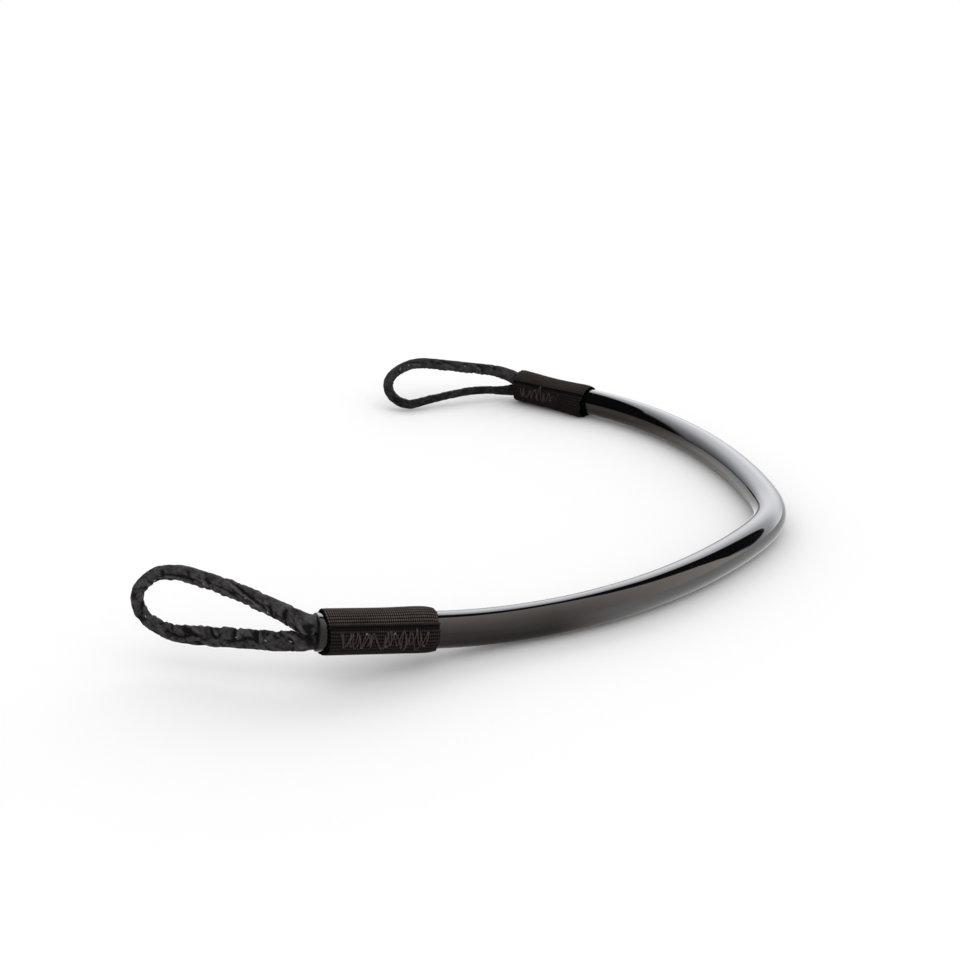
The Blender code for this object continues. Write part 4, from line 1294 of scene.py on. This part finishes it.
def studio_world(look):
    """Soft studio: a cool backdrop behind, a warm canopy over the top and right, and black between them.

    Each is a share from 0 to 1 of the direction, with soft edges. The backdrop is brightest below its
    upper edge and dims to the left; the canopy is brighter towards the back and the right. Gloss mirrors
    it as it is, matt surfaces get a softer, white share of it, and the camera sees plain white.
    """
    world = bpy.data.worlds.new("studio")
    tree = empty_tree(world)
    way = add(tree, "TexCoord", out="Generated")
    x, y, z = add(tree, "SeparateXYZ", (way,), None)
    below = add(tree, "VectorMath", (way, BACKDROP_TOP), "Value", operation="DOT_PRODUCT")
    foot = add(tree, "MapRange", (x, *BACKDROP_FOOT), **EASED)
    behind = look.backdrop
    for ramp in (
        (below, *SOFT_EDGE), (below, *BACKDROP_GLOW), (y, *BACKDROP_LEFT), (x, *BACKDROP_FADE),
        (x, *BACKDROP_END), (z, *BACKDROP_RISE, foot, 1),
    ):
        share = add(tree, "MapRange", ramp, **EASED)
        behind = add(tree, "Math", (behind, share), operation="MULTIPLY")
    edge = add(tree, "MapRange", (x, *CANOPY_BACK), **EASED)
    short = add(tree, "Math", (edge, y), operation="SUBTRACT")
    over = add(tree, "MapRange", (short, *SOFT_EDGE), **EASED)
    start = add(tree, "MapRange", (x, *CANOPY_LEFT), **EASED)
    right = add(tree, "MapRange", (x, *CANOPY_RIGHT), **EASED)
    over = add(tree, "Math", (over, start), operation="MULTIPLY")
    over = add(tree, "Math", (over, right), operation="MAXIMUM")
    canopy = add(tree, "VectorMath", (way, CANOPY_SLOPE), "Value", operation="DOT_PRODUCT")
    canopy = add(tree, "Math", (canopy, CANOPY_BASE), operation="ADD")
    canopy = add(tree, "Math", (canopy, CANOPY_LEAST), operation="MAXIMUM")
    canopy = add(tree, "Math", (canopy, look.canopy), operation="MULTIPLY")
    bright = add(tree, "Mix", {0: over, 2: behind, 3: canopy})
    matt = add(tree, "Math", (bright, *MATT_SHARE), operation="MULTIPLY_ADD")
    tint = add(tree, "Mix", {0: over, 6: (*look.cool, 1), 7: (*look.warm, 1)}, 2, data_type="RGBA")
    path = add(tree, "LightPath", out=None)
    glossy = path["Is Glossy Ray"]
    strength = add(tree, "Mix", {0: glossy, 2: matt, 3: bright})
    tint = add(tree, "Mix", {0: glossy, 6: WHITE, 7: tint}, 2, data_type="RGBA")
    light = add(tree, "Background", {"Color": tint, "Strength": strength})
    plain = add(tree, "Background", {"Color": WHITE, "Strength": 1.0})
    seen = add(tree, "Math", (path["Is Camera Ray"], path["Is Transmission Ray"]), operation="MAXIMUM")
    add(tree, "OutputWorld", {"Surface": add(tree, "MixShader", (seen, light, plain))}, None)
    return world


class HARNESS_OT_studio(Operator):
    """Set the floor, the soft light and the camera"""

    bl_idname = "harness.studio"
    bl_label = "Studio"

    def execute(self, context):
        scene = context.scene
        look = scene.harness_line.stage
        flat = np.array([(-1, -1), (1, -1), (1, 1), (-1, 1)]) * FLOOR_SIZE / 2
        mesh = bpy.data.meshes.new("studio_floor")
        mesh.from_pydata(np.c_[flat, np.full(4, -FLOOR_DROP)].tolist(), [], [(0, 1, 2, 3)])
        mesh.materials.append(studio_floor(look.floor, look.warm))
        floor = bpy.data.objects.new("studio_floor", mesh)
        scene.collection.objects.link(floor)
        scene.world = studio_world(look)
        camera = bpy.data.objects.new("camera", bpy.data.cameras.new("camera"))
        scene.collection.objects.link(camera)
        camera.data.lens = look.lens
        camera.data.sensor_width = SENSOR_WIDTH
        camera.data.clip_start = CLIP_START
        camera.matrix_world = aimed(CAMERA_PLACE, CAMERA_FORWARD, CAMERA_RIGHT)
        scene.camera = camera
        scene.view_settings.view_transform = "Standard"
        return {"FINISHED"}


OPERATORS = (
    HARNESS_OT_studio, HARNESS_OT_sheaths, HARNESS_OT_seams, HARNESS_OT_ropes, HARNESS_OT_cords,
    HARNESS_OT_tube, HARNESS_OT_cuffs, HARNESS_OT_zigzags, HARNESS_OT_seizings,
)


class HARNESS_PT_panel(Panel):
    """Settings and operators of the harness line"""

    bl_idname = "HARNESS_PT_panel"
    bl_label = "Harness line"
    bl_space_type = "VIEW_3D"
    bl_region_type = "UI"
    bl_category = "Harness line"

    def draw(self, context):
        settings = context.scene.harness_line
        for group in ("tube", "cuff", "eye", "rope", "stage"):
            box = self.layout.box()
            part = getattr(settings, group)
            for name in part.__annotations__:
                box.prop(part, name)
        for operator in OPERATORS:
            self.layout.operator(operator.bl_idname)


CLASSES = (
    TubeSettings, CuffSettings, EyeSettings, RopeSettings, StageSettings, HarnessLineSettings,
    *OPERATORS, HARNESS_PT_panel,
)


def register():
    """Add the classes and the scene's settings."""
    for item in CLASSES:
        bpy.utils.register_class(item)
    bpy.types.Scene.harness_line = PointerProperty(type=HarnessLineSettings)


def unregister():
    """Take them away again."""
    del bpy.types.Scene.harness_line
    for item in reversed(CLASSES):
        bpy.utils.unregister_class(item)


def main():
    """Make every piece and the studio."""
    register()
    for operator in OPERATORS:
        group, name = operator.bl_idname.split(".")
        getattr(getattr(bpy.ops, group), name)()


if __name__ == "__main__":
    main()
